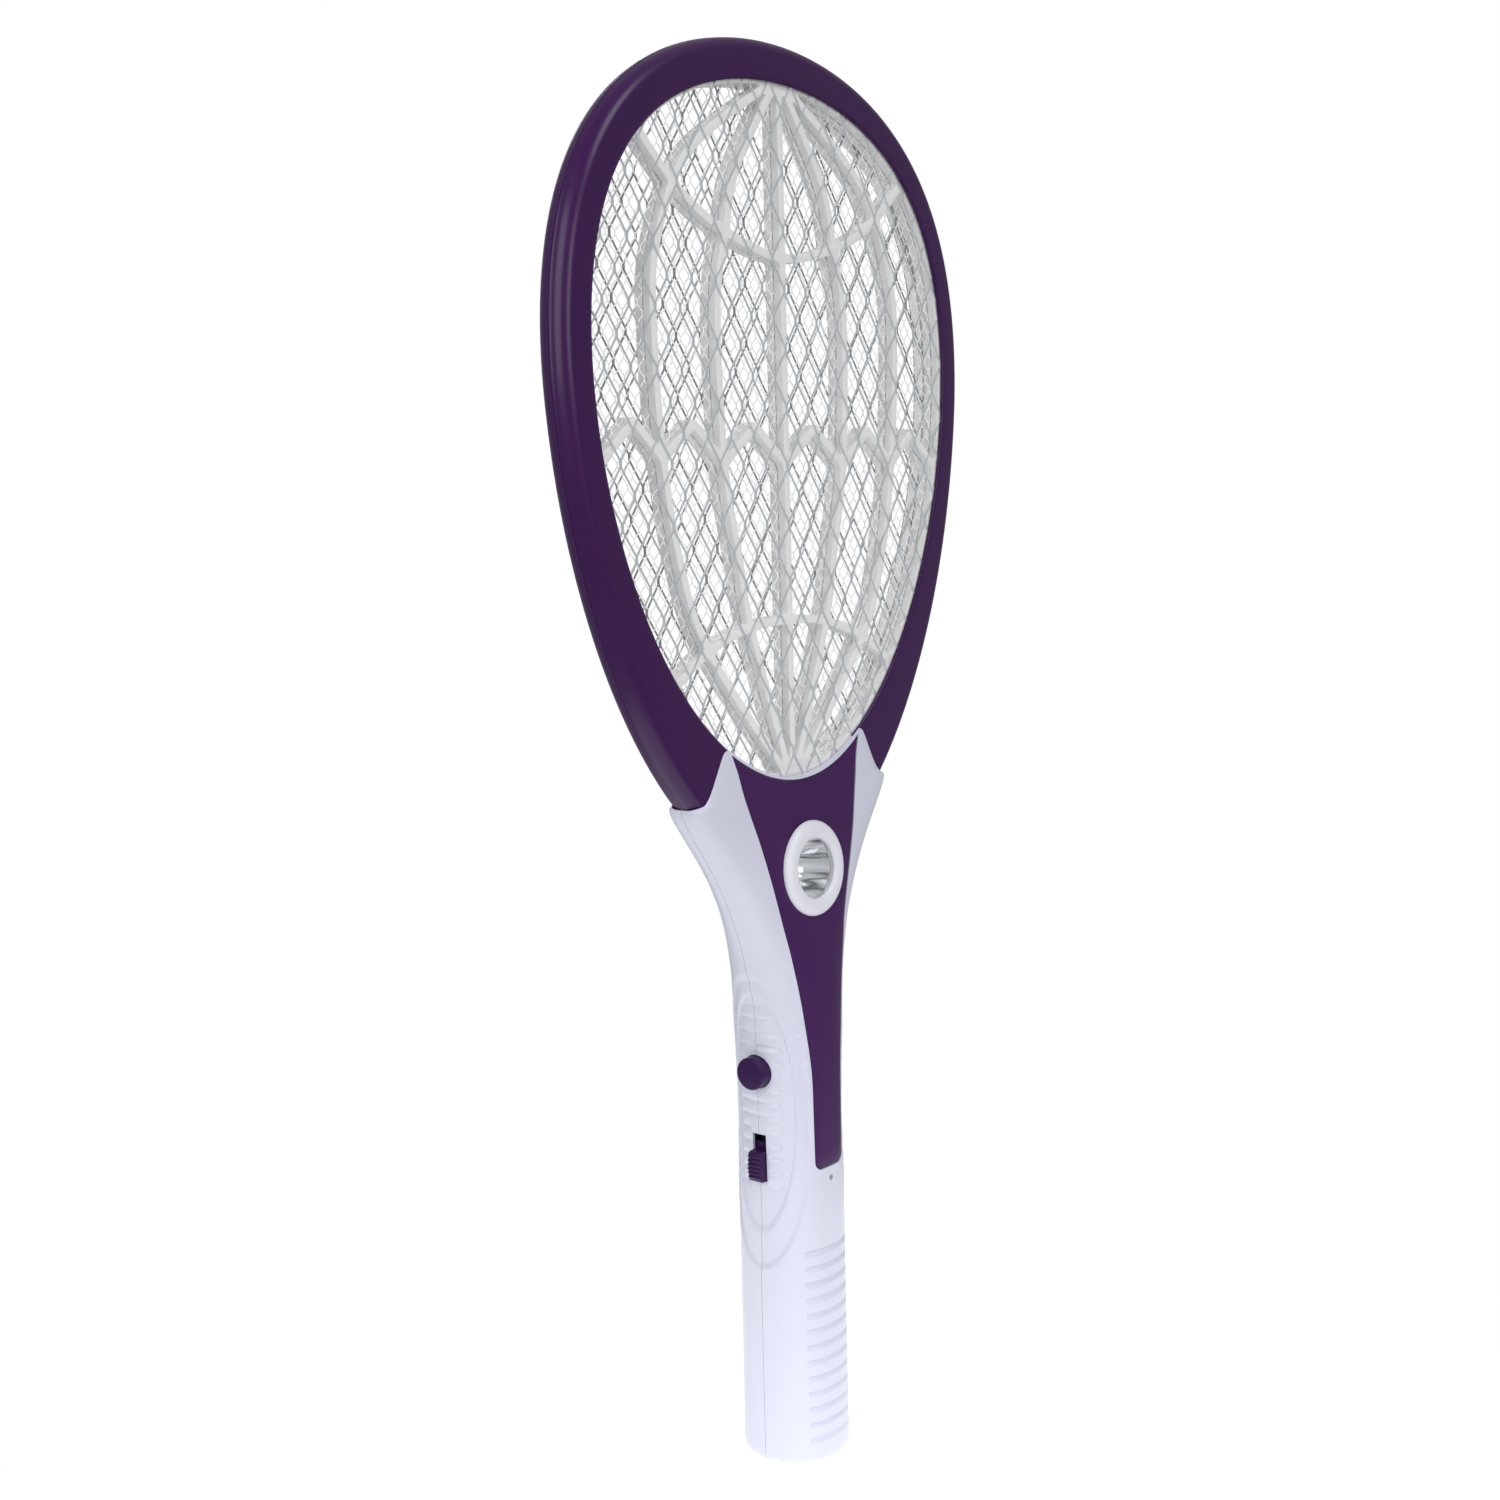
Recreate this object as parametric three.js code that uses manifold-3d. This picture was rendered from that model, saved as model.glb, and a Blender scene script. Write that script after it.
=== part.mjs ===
// Electric fly swatter. A racket-shaped head carries two earthed outer meshes with a live mesh between
// them. Its handle holds the torch, the two switches, the high-voltage board, the battery and a
// slide-out charging plug. Millimetres, +Z up, front towards -Y, origin in the middle of the base.
import * as THREE from "three";
import { mergeVertices } from "three/addons/utils/BufferGeometryUtils.js";
import Module from "manifold-3d";

const wasm = await Module();
wasm.setup();

// General
const GAP = 0.3; // clearance between touching pieces
const SEAM = 0.15; // half of the gap where two halves meet
const DEGREE = Math.PI / 180;

// Head opening, an egg with its wide end up
const HEAD_Z = 378.5;
const OPENING_HALF_HEIGHT = 121.5;
const OPENING_HALF_WIDTH = 99.35;
const EGG = [0.19, 0.1, 0.07]; // share added to the width by the height's cosine, its square and its cube

// Ring
const RING_WIDTH = 12.4; // along the sides
const RING_CROWN = 1.9; // extra width at the top
const RING_HALF_DEPTH = 7;
const RING_FRONT_ROUND = 4.6; // radius of the outer edge
const RING_BACK_ROUND = 5;
const RING_WALL = 1.8;
const RING_END = 155; // degrees from the top, inside the handle's sockets
const RING_STEPS = 31;
const OUTLINE_STEPS = 36; // with corners at the same angles as the ring's
const FLARE_START = 85; // degrees from the top, where the ring begins to widen
const FLARE_SPAN = 65;
const FLARE = 11; // extra width one span after the start
const LIP_DEPTH = 5.8; // depth of the lips' undersides
const LIP_CHAMFER = 1.2;
const CHANNEL = 4.5; // how far the channel for grids and meshes reaches behind the lips

// Grids and meshes
const RIB_WIDTH = 3;
const GRID_INNER = 1.7;
const GRID_OUTER = 4.8;
const RIM_INNER = -1;
const RIM_OUTER = CHANNEL - GAP;
const MESH_CELL_WIDTH = 50;
const MESH_CELL_HEIGHT = 80;
const STRAND_WIDTH = 0.9;
const OUTER_MESH_Y = 5.3;
const OUTER_MESH_THICKNESS = 0.5;
const LIVE_MESH_THICKNESS = 0.4;

// Handle sections: height, half width, half depth, squareness of the front and of the back (2 is an ellipse)
const HANDLE_SECTIONS = [
  [0, 16.4, 16.6, 2.4, 2.1],
  [1.2, 18, 18.3, 2.4, 2.1],
  [4, 19, 19.3, 2.4, 2.1],
  [80, 19, 19, 2.4, 2.1],
  [150, 20.4, 18.8, 2.4, 2.1],
  [172, 21, 18.6, 2.4, 2.1],
  [184, 22.6, 17.9, 2.5, 2.1],
  [194, 25, 17, 2.7, 2.2],
  [204, 28.8, 15.3, 3, 2.3],
  [214, 33.4, 14.4, 3.3, 2.4],
  [224, 39.3, 13.5, 3.5, 2.6],
  [234, 46.4, 12.4, 3.8, 3],
  [244, 53.8, 10.8, 5, 4],
  [251, 58, 9.3, 8, 7],
  [254.8, 59, 8.7, 10, 10],
  [264, 48, 8.6, 10, 10],
  [271, 41, 8.6, 10, 10],
];
const HANDLE_WALL = 2.6;
const SECTION_POINTS = 20;
const OPENING_WALL = 6.5; // wall between the head opening and the handle's hollow

// Front panel: height and half width, bottom to top
const PANEL_SIDE = [
  [150, 8.5],
  [180, 12.7],
  [200, 17.2],
  [220, 23],
  [240, 29.4],
  [260, 35.6],
];
const PANEL_BOTTOM = 111.5;
const PANEL_BOTTOM_HALF = 8;
const PANEL_CORNER = 3;
const PANEL_TOP_END = 154; // degrees from the top of the opening
const PANEL_LIP = 1.2; // white edge left between the opening and the panel
const PANEL_THICKNESS = 1.1;

// Torch
const TORCH_Z = 223.6;
const TORCH_Y = -13.7;
const TORCH_TILT = 4; // degrees, facing a little upwards with the handle's slope
const BEZEL_RADIUS = 17.5;
const BEZEL_BORE = 10.8;
const BEZEL_NECK = 15.2;
const REFLECTOR_DEPTH = 9;

// Push button and slide switch, on the left side
const BUTTON_Z = 150;
const BUTTON_RADIUS = 6;
const BUTTON_FACE_X = -23.6;
const SLOT_LOW = 108.6;
const SLOT_HIGH = 126.4;
const SLOT_WIDTH = 6.2;
const KNOB_LENGTH = 11.4;
const KNOB_FACE_X = -22.2;
const INDICATOR_Z = 108.4;
const INDICATOR_Y = -16.2; // base of the indicator lamp's lens

// Circuit board and battery
const BOARD_X = -8;
const BOARD_LOW = 104.5;
const BOARD_HIGH = 191.5;
const BOARD_HALF_WIDTH = 11.5;
const BOARD_THICKNESS = 1.6;
const BATTERY_LOW = 53;
const BATTERY_SIZE = [22, 19, 42];

// Charging plug
const PIN_SPACING = 19;
const PIN_RADIUS = 2;
const PIN_TIP_Z = 1.5;
const CARRIAGE_LOW = 24;
const CARRIAGE_HIGH = 42;
const CARRIAGE_SIZE = [26, 11];
const THUMB_LOW = 30;
const THUMB_HIGH = 41;
const THUMB_WIDTH = 10;
const THUMB_FACE_Y = 19;
const PLUG_TRAVEL = 19.5;

// Case screws, driven from the back: place across and height
const SCREWS = [
  [0, 99.5],
  [0, 197.5],
  [-29, 244],
  [29, 244],
];
const BOSS_RADIUS = 3.2;
const SCREW_RADIUS = 1.3;
const SCREW_HEAD_RADIUS = 2.6;

// ---------------------------------------------------------------- solids

function solid(geometry) {
  const bare = geometry.index ? geometry.toNonIndexed() : geometry.clone();
  bare.deleteAttribute("normal");
  bare.deleteAttribute("uv");
  const merged = mergeVertices(bare, 1e-4);
  const vertProperties = merged.attributes.position.array;
  const triVerts = new Uint32Array(merged.index.array);
  return new wasm.Manifold(new wasm.Mesh({ numProp: 3, vertProperties, triVerts }));
}

function geometryOf(body) {
  const mesh = body.getMesh();
  const geometry = new THREE.BufferGeometry();
  geometry.setAttribute("position", new THREE.BufferAttribute(mesh.vertProperties, 3));
  geometry.setIndex(new THREE.BufferAttribute(mesh.triVerts, 1));
  geometry.computeVertexNormals();
  return geometry;
}

function union(bodies) {
  return bodies.reduce((all, body) => all.add(body));
}

function box(low, high) {
  const size = high.map((value, i) => value - low[i]);
  const middle = high.map((value, i) => (value + low[i]) / 2);
  return solid(new THREE.BoxGeometry(...size).translate(...middle));
}

// A cylinder along an axis, from one place on that axis to another
function cylinder(axis, radius, from, to, across = [0, 0], sides = 16) {
  const geometry = new THREE.CylinderGeometry(radius, radius, Math.abs(to - from), sides);
  const middle = (from + to) / 2;
  if (axis === "x") geometry.rotateZ(Math.PI / 2).translate(middle, across[0], across[1]);
  if (axis === "y") geometry.translate(across[0], middle, 0).translate(0, 0, across[1]);
  if (axis === "z") geometry.rotateX(Math.PI / 2).translate(across[0], across[1], middle);
  return solid(geometry);
}

// A body turned about its own Y axis; the profile runs [radius, height] with the body on its left
function turned(profile, sides = 24) {
  const points = profile.map(([radius, height]) => new THREE.Vector2(radius, height));
  const body = solid(new THREE.LatheGeometry(points, sides));
  return body;
}

// A front-view outline, given as x and z, made into a plate between two depths
function plate(outline, yLow, yHigh, holes = []) {
  const shape = new THREE.Shape(outline);
  shape.holes = holes.map((hole) => new THREE.Path([...hole].reverse()));
  const geometry = new THREE.ExtrudeGeometry(shape, { depth: yHigh - yLow, bevelEnabled: false });
  return solid(geometry.rotateX(Math.PI / 2).translate(0, yHigh, 0));
}

// Rows of points joined into a closed skin, with both end rows filled in
function loft(rows, flatRows) {
  const count = rows[0].length;
  if (THREE.ShapeUtils.isClockWise(flatRows[0])) {
    for (const row of [...rows, ...flatRows]) row.reverse();
  }
  const index = [];
  for (let row = 0; row < rows.length - 1; row++) {
    for (let i = 0; i < count; i++) {
      const a = row * count + i;
      const b = row * count + ((i + 1) % count);
      index.push(a, b, b + count, a, b + count, a + count);
    }
  }
  const last = (rows.length - 1) * count;
  for (const [a, b, c] of THREE.ShapeUtils.triangulateShape(flatRows[0], [])) index.push(a, c, b);
  for (const [a, b, c] of THREE.ShapeUtils.triangulateShape(flatRows[1], [])) {
    index.push(last + a, last + b, last + c);
  }
  const geometry = new THREE.BufferGeometry().setFromPoints(rows.flat());
  geometry.setIndex(index);
  const body = solid(geometry);
  if (body.volume() > 0) return body;
  for (let i = 0; i < index.length; i += 3) [index[i], index[i + 1]] = [index[i + 1], index[i]];
  geometry.setIndex(index);
  return solid(geometry);
}

// ---------------------------------------------------------------- head

// A point of the opening's outline at an angle from the top, moved outwards by a distance
function openingPoint(degrees, outwards = 0) {
  const at = (angle) => {
    const c = Math.cos(angle);
    const width = 1 + EGG[0] * c + EGG[1] * c ** 2 + EGG[2] * c ** 3;
    const x = OPENING_HALF_WIDTH * Math.sin(angle) * width;
    return new THREE.Vector2(x, HEAD_Z + OPENING_HALF_HEIGHT * c);
  };
  const angle = degrees * DEGREE;
  const along = at(angle + 1e-3).sub(at(angle - 1e-3)).normalize();
  return at(angle).add(new THREE.Vector2(-along.y, along.x).multiplyScalar(outwards));
}

function openingOutline(outwards) {
  const step = 360 / OUTLINE_STEPS;
  return Array.from({ length: OUTLINE_STEPS }, (_, i) => openingPoint((i + 0.5) * step, outwards));
}

function ringWidth(degrees) {
  const past = Math.max(0, (Math.abs(degrees) - FLARE_START) / FLARE_SPAN);
  const crown = RING_CROWN * Math.max(0, Math.cos(degrees * DEGREE)) ** 4;
  return RING_WIDTH + crown + FLARE * past ** 1.8;
}

// Sweeps a section, a list of [distance from the opening, depth] that depends on the ring's width
function sweepRing(section, fromDegrees, toDegrees, steps) {
  const rows = [];
  for (let i = 0; i <= steps; i++) {
    const degrees = fromDegrees + ((toDegrees - fromDegrees) * i) / steps;
    rows.push(
      section(ringWidth(degrees)).map(([out, y]) => {
        const point = openingPoint(degrees, out);
        return new THREE.Vector3(point.x, y, point.y);
      }),
    );
  }
  const flat = [fromDegrees, toDegrees].map((degrees) =>
    section(ringWidth(degrees)).map(([out, y]) => new THREE.Vector2(out, y)),
  );
  return loft(rows, flat);
}

// One half of the ring: a U-shaped moulding with a lip over the edge of the meshes
function ringHalf(side) {
  const round = side < 0 ? RING_FRONT_ROUND : RING_BACK_ROUND;
  const section = (width) =>
    [
      [0, LIP_DEPTH],
      [LIP_CHAMFER, RING_HALF_DEPTH],
      [width - round, RING_HALF_DEPTH],
      [width - 0.33 * round, RING_HALF_DEPTH - 0.3 * round],
      [width - 0.05 * round, RING_HALF_DEPTH - 0.85 * round],
      [width, SEAM],
      [width - RING_WALL, SEAM],
      [width - RING_WALL - 0.5, RING_HALF_DEPTH - 3.8],
      [width - round - 0.6, LIP_DEPTH],
      [CHANNEL + RING_WALL, LIP_DEPTH],
      [CHANNEL + RING_WALL, SEAM],
      [CHANNEL, SEAM],
      [CHANNEL, LIP_DEPTH],
    ].map(([out, depth]) => [out, side * depth]);
  return sweepRing(section, -RING_END, RING_END, RING_STEPS);
}

// The room that a ring end needs in the handle, on one side
function ringSocket(side) {
  const section = (width) => [
    [-2, -RING_HALF_DEPTH - GAP],
    [width + GAP, -RING_HALF_DEPTH - GAP],
    [width + GAP, RING_HALF_DEPTH + GAP],
    [-2, RING_HALF_DEPTH + GAP],
  ];
  return sweepRing(section, side * 135, side * (RING_END + 0.6), 2);
}

// A rib of a grid along a smooth line through front-view points
function rib(points, yLow, yHigh, steps) {
  const line = new THREE.SplineCurve(points.map(([x, z]) => new THREE.Vector2(x, z)));
  const left = [];
  const right = [];
  for (let i = 0; i <= steps; i++) {
    const point = line.getPoint(i / steps);
    const along = line.getTangent(i / steps);
    const across = new THREE.Vector2(-along.y, along.x).multiplyScalar(RIB_WIDTH / 2);
    left.push(point.clone().add(across));
    right.unshift(point.clone().sub(across));
  }
  return plate([...right, ...left], yLow, yHigh);
}

// The moulded grid: a rim, five ribs from hub to hub, two arcs across and a row of crowns at mid height
function grid(side) {
  const [yLow, yHigh] = side < 0 ? [-GRID_OUTER, -GRID_INNER] : [GRID_INNER, GRID_OUTER];
  const top = HEAD_Z + OPENING_HALF_HEIGHT;
  const bottom = HEAD_Z - OPENING_HALF_HEIGHT;
  const bodies = [plate(openingOutline(RIM_OUTER), yLow, yHigh, [openingOutline(RIM_INNER)])];
  bodies.push(rib([[0, bottom], [0, top]], yLow, yHigh, 1));
  const inner = [[2, top], [24, 470], [31.5, 447], [37, 420], [35, 369], [28, 336], [22.5, 312], [2, bottom + 1]];
  const outer = [[4, top], [50, 471], [68, 438], [70, 408], [67, 370], [60, 336], [46, 305], [4, bottom + 1]];
  const upper = [[78, 477], [56, 458.5], [31.5, 447], [0, 441], [-31.5, 447], [-56, 458.5], [-78, 477]];
  const lower = [[66, 293], [46, 305], [22.5, 312], [0, 313.6], [-22.5, 312], [-46, 305], [-66, 293]];
  bodies.push(rib(upper, yLow, yHigh, 8), rib(lower, yLow, yHigh, 8));
  for (const mirror of [-1, 1]) {
    const mirrored = (points) => points.map(([x, z]) => [mirror * x, z]);
    bodies.push(rib(mirrored(inner), yLow, yHigh, 8), rib(mirrored(outer), yLow, yHigh, 10));
    const crowns = [[0, 369], [17.5, 382], [35, 369], [51, 382], [67, 370], [81, 382], [97, 369]];
    for (let i = 0; i < crowns.length - 1; i++) {
      bodies.push(rib(mirrored(crowns.slice(i, i + 2)), yLow, yHigh, 1));
    }
  }
  const reach = plate(openingOutline(RIM_OUTER), yLow, yHigh);
  return union(bodies).intersect(reach);
}

// A mesh as a lattice of slanted strands held in a flat rim
function lattice(y, thickness) {
  const yLow = y - thickness / 2;
  const yHigh = y + thickness / 2;
  const slant = Math.atan(MESH_CELL_WIDTH / MESH_CELL_HEIGHT);
  const pitch = MESH_CELL_WIDTH * Math.cos(slant);
  const strands = [];
  for (const lean of [-slant, slant]) {
    for (let place = -4; place <= 4; place++) {
      const strand = new THREE.BoxGeometry(STRAND_WIDTH, thickness, 340);
      strand.translate(place * pitch, 0, 0).rotateY(lean).translate(0, y, HEAD_Z);
      strands.push(solid(strand));
    }
  }
  const reach = plate(openingOutline(1.5), yLow, yHigh);
  const rim = plate(openingOutline(RIM_OUTER), yLow, yHigh, [openingOutline(0.5)]);
  return union(strands).intersect(reach).add(rim);
}

// ---------------------------------------------------------------- handle

// The handle's outer form, drawn in by an inset
function handleForm(inset, low = 0) {
  const rows = HANDLE_SECTIONS.map(([z, halfWidth, halfDepth, frontSquareness, backSquareness], level) => {
    const height = level === 0 ? low : z;
    return Array.from({ length: SECTION_POINTS }, (_, i) => {
      const angle = (2 * Math.PI * i) / SECTION_POINTS;
      const c = Math.cos(angle);
      const s = Math.sin(angle);
      const power = 2 / (s < 0 ? frontSquareness : backSquareness);
      const x = (halfWidth - inset) * Math.sign(c) * Math.abs(c) ** power;
      const y = (halfDepth - inset) * Math.sign(s) * Math.abs(s) ** power;
      return new THREE.Vector3(x, y, height);
    });
  }).filter((row, level) => level === 0 || row[0].z > low);
  const flat = [rows[0], rows.at(-1)].map((row) => row.map((p) => new THREE.Vector2(p.x, p.y)));
  return loft(rows, flat);
}

function panelOutline(grow) {
  const right = [];
  const corner = PANEL_CORNER;
  for (const turn of [0, 30, 60, 90]) {
    const x = PANEL_BOTTOM_HALF - corner + (corner + grow) * Math.sin(turn * DEGREE);
    const z = PANEL_BOTTOM + corner - (corner + grow) * Math.cos(turn * DEGREE);
    right.push(new THREE.Vector2(x, z));
  }
  for (const [z, half] of PANEL_SIDE) right.push(new THREE.Vector2(half + grow, z));
  const steps = 12;
  for (let i = 0; i <= steps / 2; i++) {
    const degrees = PANEL_TOP_END + ((180 - PANEL_TOP_END) * i) / (steps / 2) - grow;
    right.push(openingPoint(Math.min(degrees, 180), PANEL_LIP - grow));
  }
  const left = right
    .filter((p) => p.x > 1e-6)
    .map((p) => new THREE.Vector2(-p.x, p.y))
    .reverse();
  return [...right, ...left];
}

// Moves a body made around its own Z axis to the torch's place, with that axis pointing out
function atTorch(body) {
  return body.rotate([90 - TORCH_TILT, 0, 0]).translate([0, TORCH_Y, TORCH_Z]);
}

// A turned body whose axis is Z
function turnedZ(profile, sides) {
  return turned(profile, sides).rotate([90, 0, 0]);
}

function roundedBar(halfX, halfY, low, high, corner) {
  const shape = new THREE.Shape();
  for (const [sx, sy, start] of [[1, 1, 0], [-1, 1, 90], [-1, -1, 180], [1, -1, 270]]) {
    for (const turn of [0, 45, 90]) {
      const angle = (start + turn) * DEGREE;
      const x = sx * (halfX - corner) + corner * Math.cos(angle);
      const y = sy * (halfY - corner) + corner * Math.sin(angle);
      if (shape.curves.length === 0 && start + turn === 0) shape.moveTo(x, y);
      else shape.lineTo(x, y);
    }
  }
  const geometry = new THREE.ExtrudeGeometry(shape, { depth: high - low, bevelEnabled: false });
  return solid(geometry.translate(0, 0, low));
}

// A thin insulated lead along a smooth line
function lead(points, radius) {
  const line = new THREE.CatmullRomCurve3(points.map((p) => new THREE.Vector3(...p)));
  const section = new THREE.Shape();
  for (let i = 0; i < 6; i++) {
    const x = radius * Math.cos((i * Math.PI) / 3);
    const y = radius * Math.sin((i * Math.PI) / 3);
    if (i === 0) section.moveTo(x, y);
    else section.lineTo(x, y);
  }
  return solid(new THREE.ExtrudeGeometry(section, { steps: 10, extrudePath: line, bevelEnabled: false }));
}

const outerForm = handleForm(0);
const recessFloor = handleForm(PANEL_THICKNESS + GAP);
const hollow = handleForm(HANDLE_WALL, HANDLE_WALL).subtract(plate(openingOutline(OPENING_WALL), -40, 40));
const torchBore = atTorch(cylinder("z", BEZEL_NECK + GAP, -14, 14, [0, 0], 18));
const channel = plate(openingOutline(CHANNEL + GAP), -LIP_DEPTH - GAP, LIP_DEPTH + GAP);
const pinHalf = PIN_SPACING / 2;
const leadHoles = [-5, 0, 5].map((x) => cylinder("z", 1, 244, 256, [x, 0], 8));

const openings = [
  plate(openingOutline(0), -40, 40),
  channel,
  ringSocket(-1),
  ringSocket(1),
  cylinder("x", BUTTON_RADIUS + GAP, -30, -12, [0, BUTTON_Z], 20),
  box([-30, -SLOT_WIDTH / 2, SLOT_LOW], [-12, SLOT_WIDTH / 2, SLOT_HIGH]),
  cylinder("z", PIN_RADIUS + GAP, -1, 5, [-pinHalf, 0], 14),
  cylinder("z", PIN_RADIUS + GAP, -1, 5, [pinHalf, 0], 14),
  ...leadHoles,
];
const casing = union([hollow, ...openings]);

function frontShell() {
  const recess = plate(panelOutline(GAP), -40, 0).subtract(recessFloor);
  let shell = outerForm.subtract(casing).subtract(recess).subtract(torchBore);
  shell = shell.subtract(cylinder("y", 1.1, -30, -10, [0, INDICATOR_Z], 12));
  const front = shell.intersect(box([-80, -40, -1], [80, -SEAM, 300]));
  const bosses = SCREWS.map(([x, z]) => cylinder("y", BOSS_RADIUS, -30, -SEAM, [x, z], 12));
  const holes = SCREWS.map(([x, z]) => cylinder("y", SCREW_RADIUS, -7, 1, [x, z], 10));
  const inside = handleForm(HANDLE_WALL - 0.6);
  return front.add(union(bosses).intersect(inside)).subtract(union(holes));
}

function backShell() {
  const window = [THUMB_WIDTH / 2 + GAP, THUMB_LOW - PLUG_TRAVEL - GAP, THUMB_HIGH + GAP];
  let shell = outerForm.subtract(casing).intersect(box([-80, SEAM, -1], [80, 40, 300]));
  shell = shell.subtract(box([-window[0], 8, window[1]], [window[0], 30, window[2]]));
  const bosses = SCREWS.map(([x, z]) => cylinder("y", BOSS_RADIUS + 1, SEAM, 30, [x, z], 12));
  const inside = handleForm(HANDLE_WALL - 0.6);
  const shanks = SCREWS.map(([x, z]) => cylinder("y", SCREW_RADIUS + GAP, -1, 30, [x, z], 10));
  const heads = SCREWS.map(([x, z]) => cylinder("y", SCREW_HEAD_RADIUS + 0.4, 4, 30, [x, z], 12));
  return shell.add(union(bosses).intersect(inside)).subtract(union([...shanks, ...heads]));
}

function frontPanel() {
  const skin = outerForm.subtract(handleForm(PANEL_THICKNESS));
  return skin.intersect(plate(panelOutline(0), -40, -SEAM)).subtract(torchBore);
}

// ---------------------------------------------------------------- torch

function torchBezel() {
  const profile = [
    [BEZEL_BORE, -4.5],
    [BEZEL_NECK, -4.5],
    [BEZEL_NECK, GAP],
    [BEZEL_RADIUS, GAP],
    [BEZEL_RADIUS - 0.2, 1.4],
    [BEZEL_RADIUS - 2, 2.6],
    [BEZEL_BORE + 2, 2.4],
    [BEZEL_BORE, 0.8],
    [BEZEL_BORE, -4.5],
  ];
  return atTorch(turnedZ(profile, 20));
}

function torchLens() {
  const radius = BEZEL_BORE - GAP;
  return atTorch(turnedZ([[0, -3.4], [radius, -3.4], [radius, -2], [0, -1.6]], 24));
}

function torchReflector() {
  const floor = -4.8 - REFLECTOR_DEPTH;
  const profile = [
    [2.3, floor],
    [4, floor],
    [8.6, floor + 3],
    [BEZEL_NECK - 0.6, -5.8],
    [BEZEL_NECK - 0.6, -4.8],
    [BEZEL_BORE, -4.8],
    [8, floor + 4],
    [2.3, floor + 1.2],
    [2.3, floor],
  ];
  return atTorch(turnedZ(profile, 16));
}

function torchLed() {
  const foot = -5.8 - REFLECTOR_DEPTH;
  const profile = [[0, foot], [1.9, foot], [1.9, foot + 3.6], [1.3, foot + 4.9], [0, foot + 5.4]];
  return atTorch(turnedZ(profile, 12));
}

// ---------------------------------------------------------------- switches

function zapButton() {
  const profile = [
    [0, BUTTON_FACE_X],
    [BUTTON_RADIUS - 1.2, BUTTON_FACE_X + 0.5],
    [BUTTON_RADIUS, BUTTON_FACE_X + 1.6],
    [BUTTON_RADIUS, -15.6],
    [7.4, -15.6],
    [7.4, -14.4],
    [0, -14.4],
  ];
  return turned(profile, 18).rotate([0, 0, -90]).translate([0, 0, BUTTON_Z]);
}

function slideKnob() {
  const low = SLOT_LOW + GAP;
  const high = low + KNOB_LENGTH;
  const half = SLOT_WIDTH / 2 - GAP;
  const ridges = [];
  for (let z = low + 1; z < high - 1; z += 1.9) {
    ridges.push(box([KNOB_FACE_X, -half, z], [KNOB_FACE_X + 1, half, z + 0.9]));
  }
  const body = box([KNOB_FACE_X + 0.6, -half, low], [-15.3, half, high]);
  const keeper = box([-16.3, -4, low - 2.4], [-15.1, 4, high + 2.6]);
  const stem = box([-15.3, -1.5, 113], [-12.9, 1.5, 116]);
  return union([body, keeper, stem, ...ridges]);
}

// ---------------------------------------------------------------- board

const boardLeft = BOARD_X - BOARD_THICKNESS / 2;
const boardRight = BOARD_X + BOARD_THICKNESS / 2;

function onBoard(depth, y, z, size) {
  const low = [boardRight + GAP, y - size[0] / 2, z - size[1] / 2];
  return box(low, [low[0] + depth, y + size[0] / 2, z + size[1] / 2]);
}

function transformer() {
  const core = onBoard(12, 0, 180, [15, 13]);
  const winding = cylinder("x", 6.3, boardRight + 2, boardRight + 10, [0, 180], 14);
  const slotFront = onBoard(8, -6.5, 180, [4, 9]).translate([2, 0, 0]);
  const slotBack = onBoard(8, 6.5, 180, [4, 9]).translate([2, 0, 0]);
  return core.subtract(slotFront).subtract(slotBack).add(winding);
}

// An upright can or drop with its foot on the board
function uprightCan(radius, height, y, z) {
  return cylinder("x", radius, boardRight + GAP, boardRight + GAP + height, [y, z], 14);
}

// A part lying along Z a little above the board, on two bent wires
function lyingPart(radius, length, y, z) {
  const x = boardRight + 3;
  const body = cylinder("z", radius, z - length / 2, z + length / 2, [x, y], 10);
  const wires = [-1, 1].map((end) => {
    const wireZ = z + end * (length / 2 + 1.6);
    const low = Math.min(z, wireZ);
    const flat = box([x - 0.3, y - 0.3, low], [x + 0.3, y + 0.3, Math.max(z, wireZ)]);
    return flat.add(box([boardRight + GAP, y - 0.3, wireZ - 0.3], [x + 0.3, y + 0.3, wireZ + 0.3]));
  });
  return union([body, ...wires]);
}

function transistor() {
  const body = cylinder("x", 2.4, boardRight + 3, boardRight + 8, [7.5, 164], 12);
  const flat = box([boardRight, 8.9, 160], [boardRight + 10, 12, 168]);
  const legs = [-1.3, 0, 1.3].map((z) =>
    box([boardRight + GAP, 7.2, 163.8 + z], [boardRight + 3.5, 7.7, 164.2 + z]),
  );
  return union([body.subtract(flat), ...legs]);
}

// ---------------------------------------------------------------- power

function battery() {
  const [width, depth, height] = BATTERY_SIZE;
  const body = roundedBar(width / 2, depth / 2, BATTERY_LOW, BATTERY_LOW + height - 1.6, 3);
  const tabs = [-5.5, 5.5].map((x) => {
    const top = BATTERY_LOW + height;
    return box([x - 1.6, -0.4, top - 2], [x + 1.6, 0.4, top]);
  });
  return union([body, ...tabs]);
}

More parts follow.
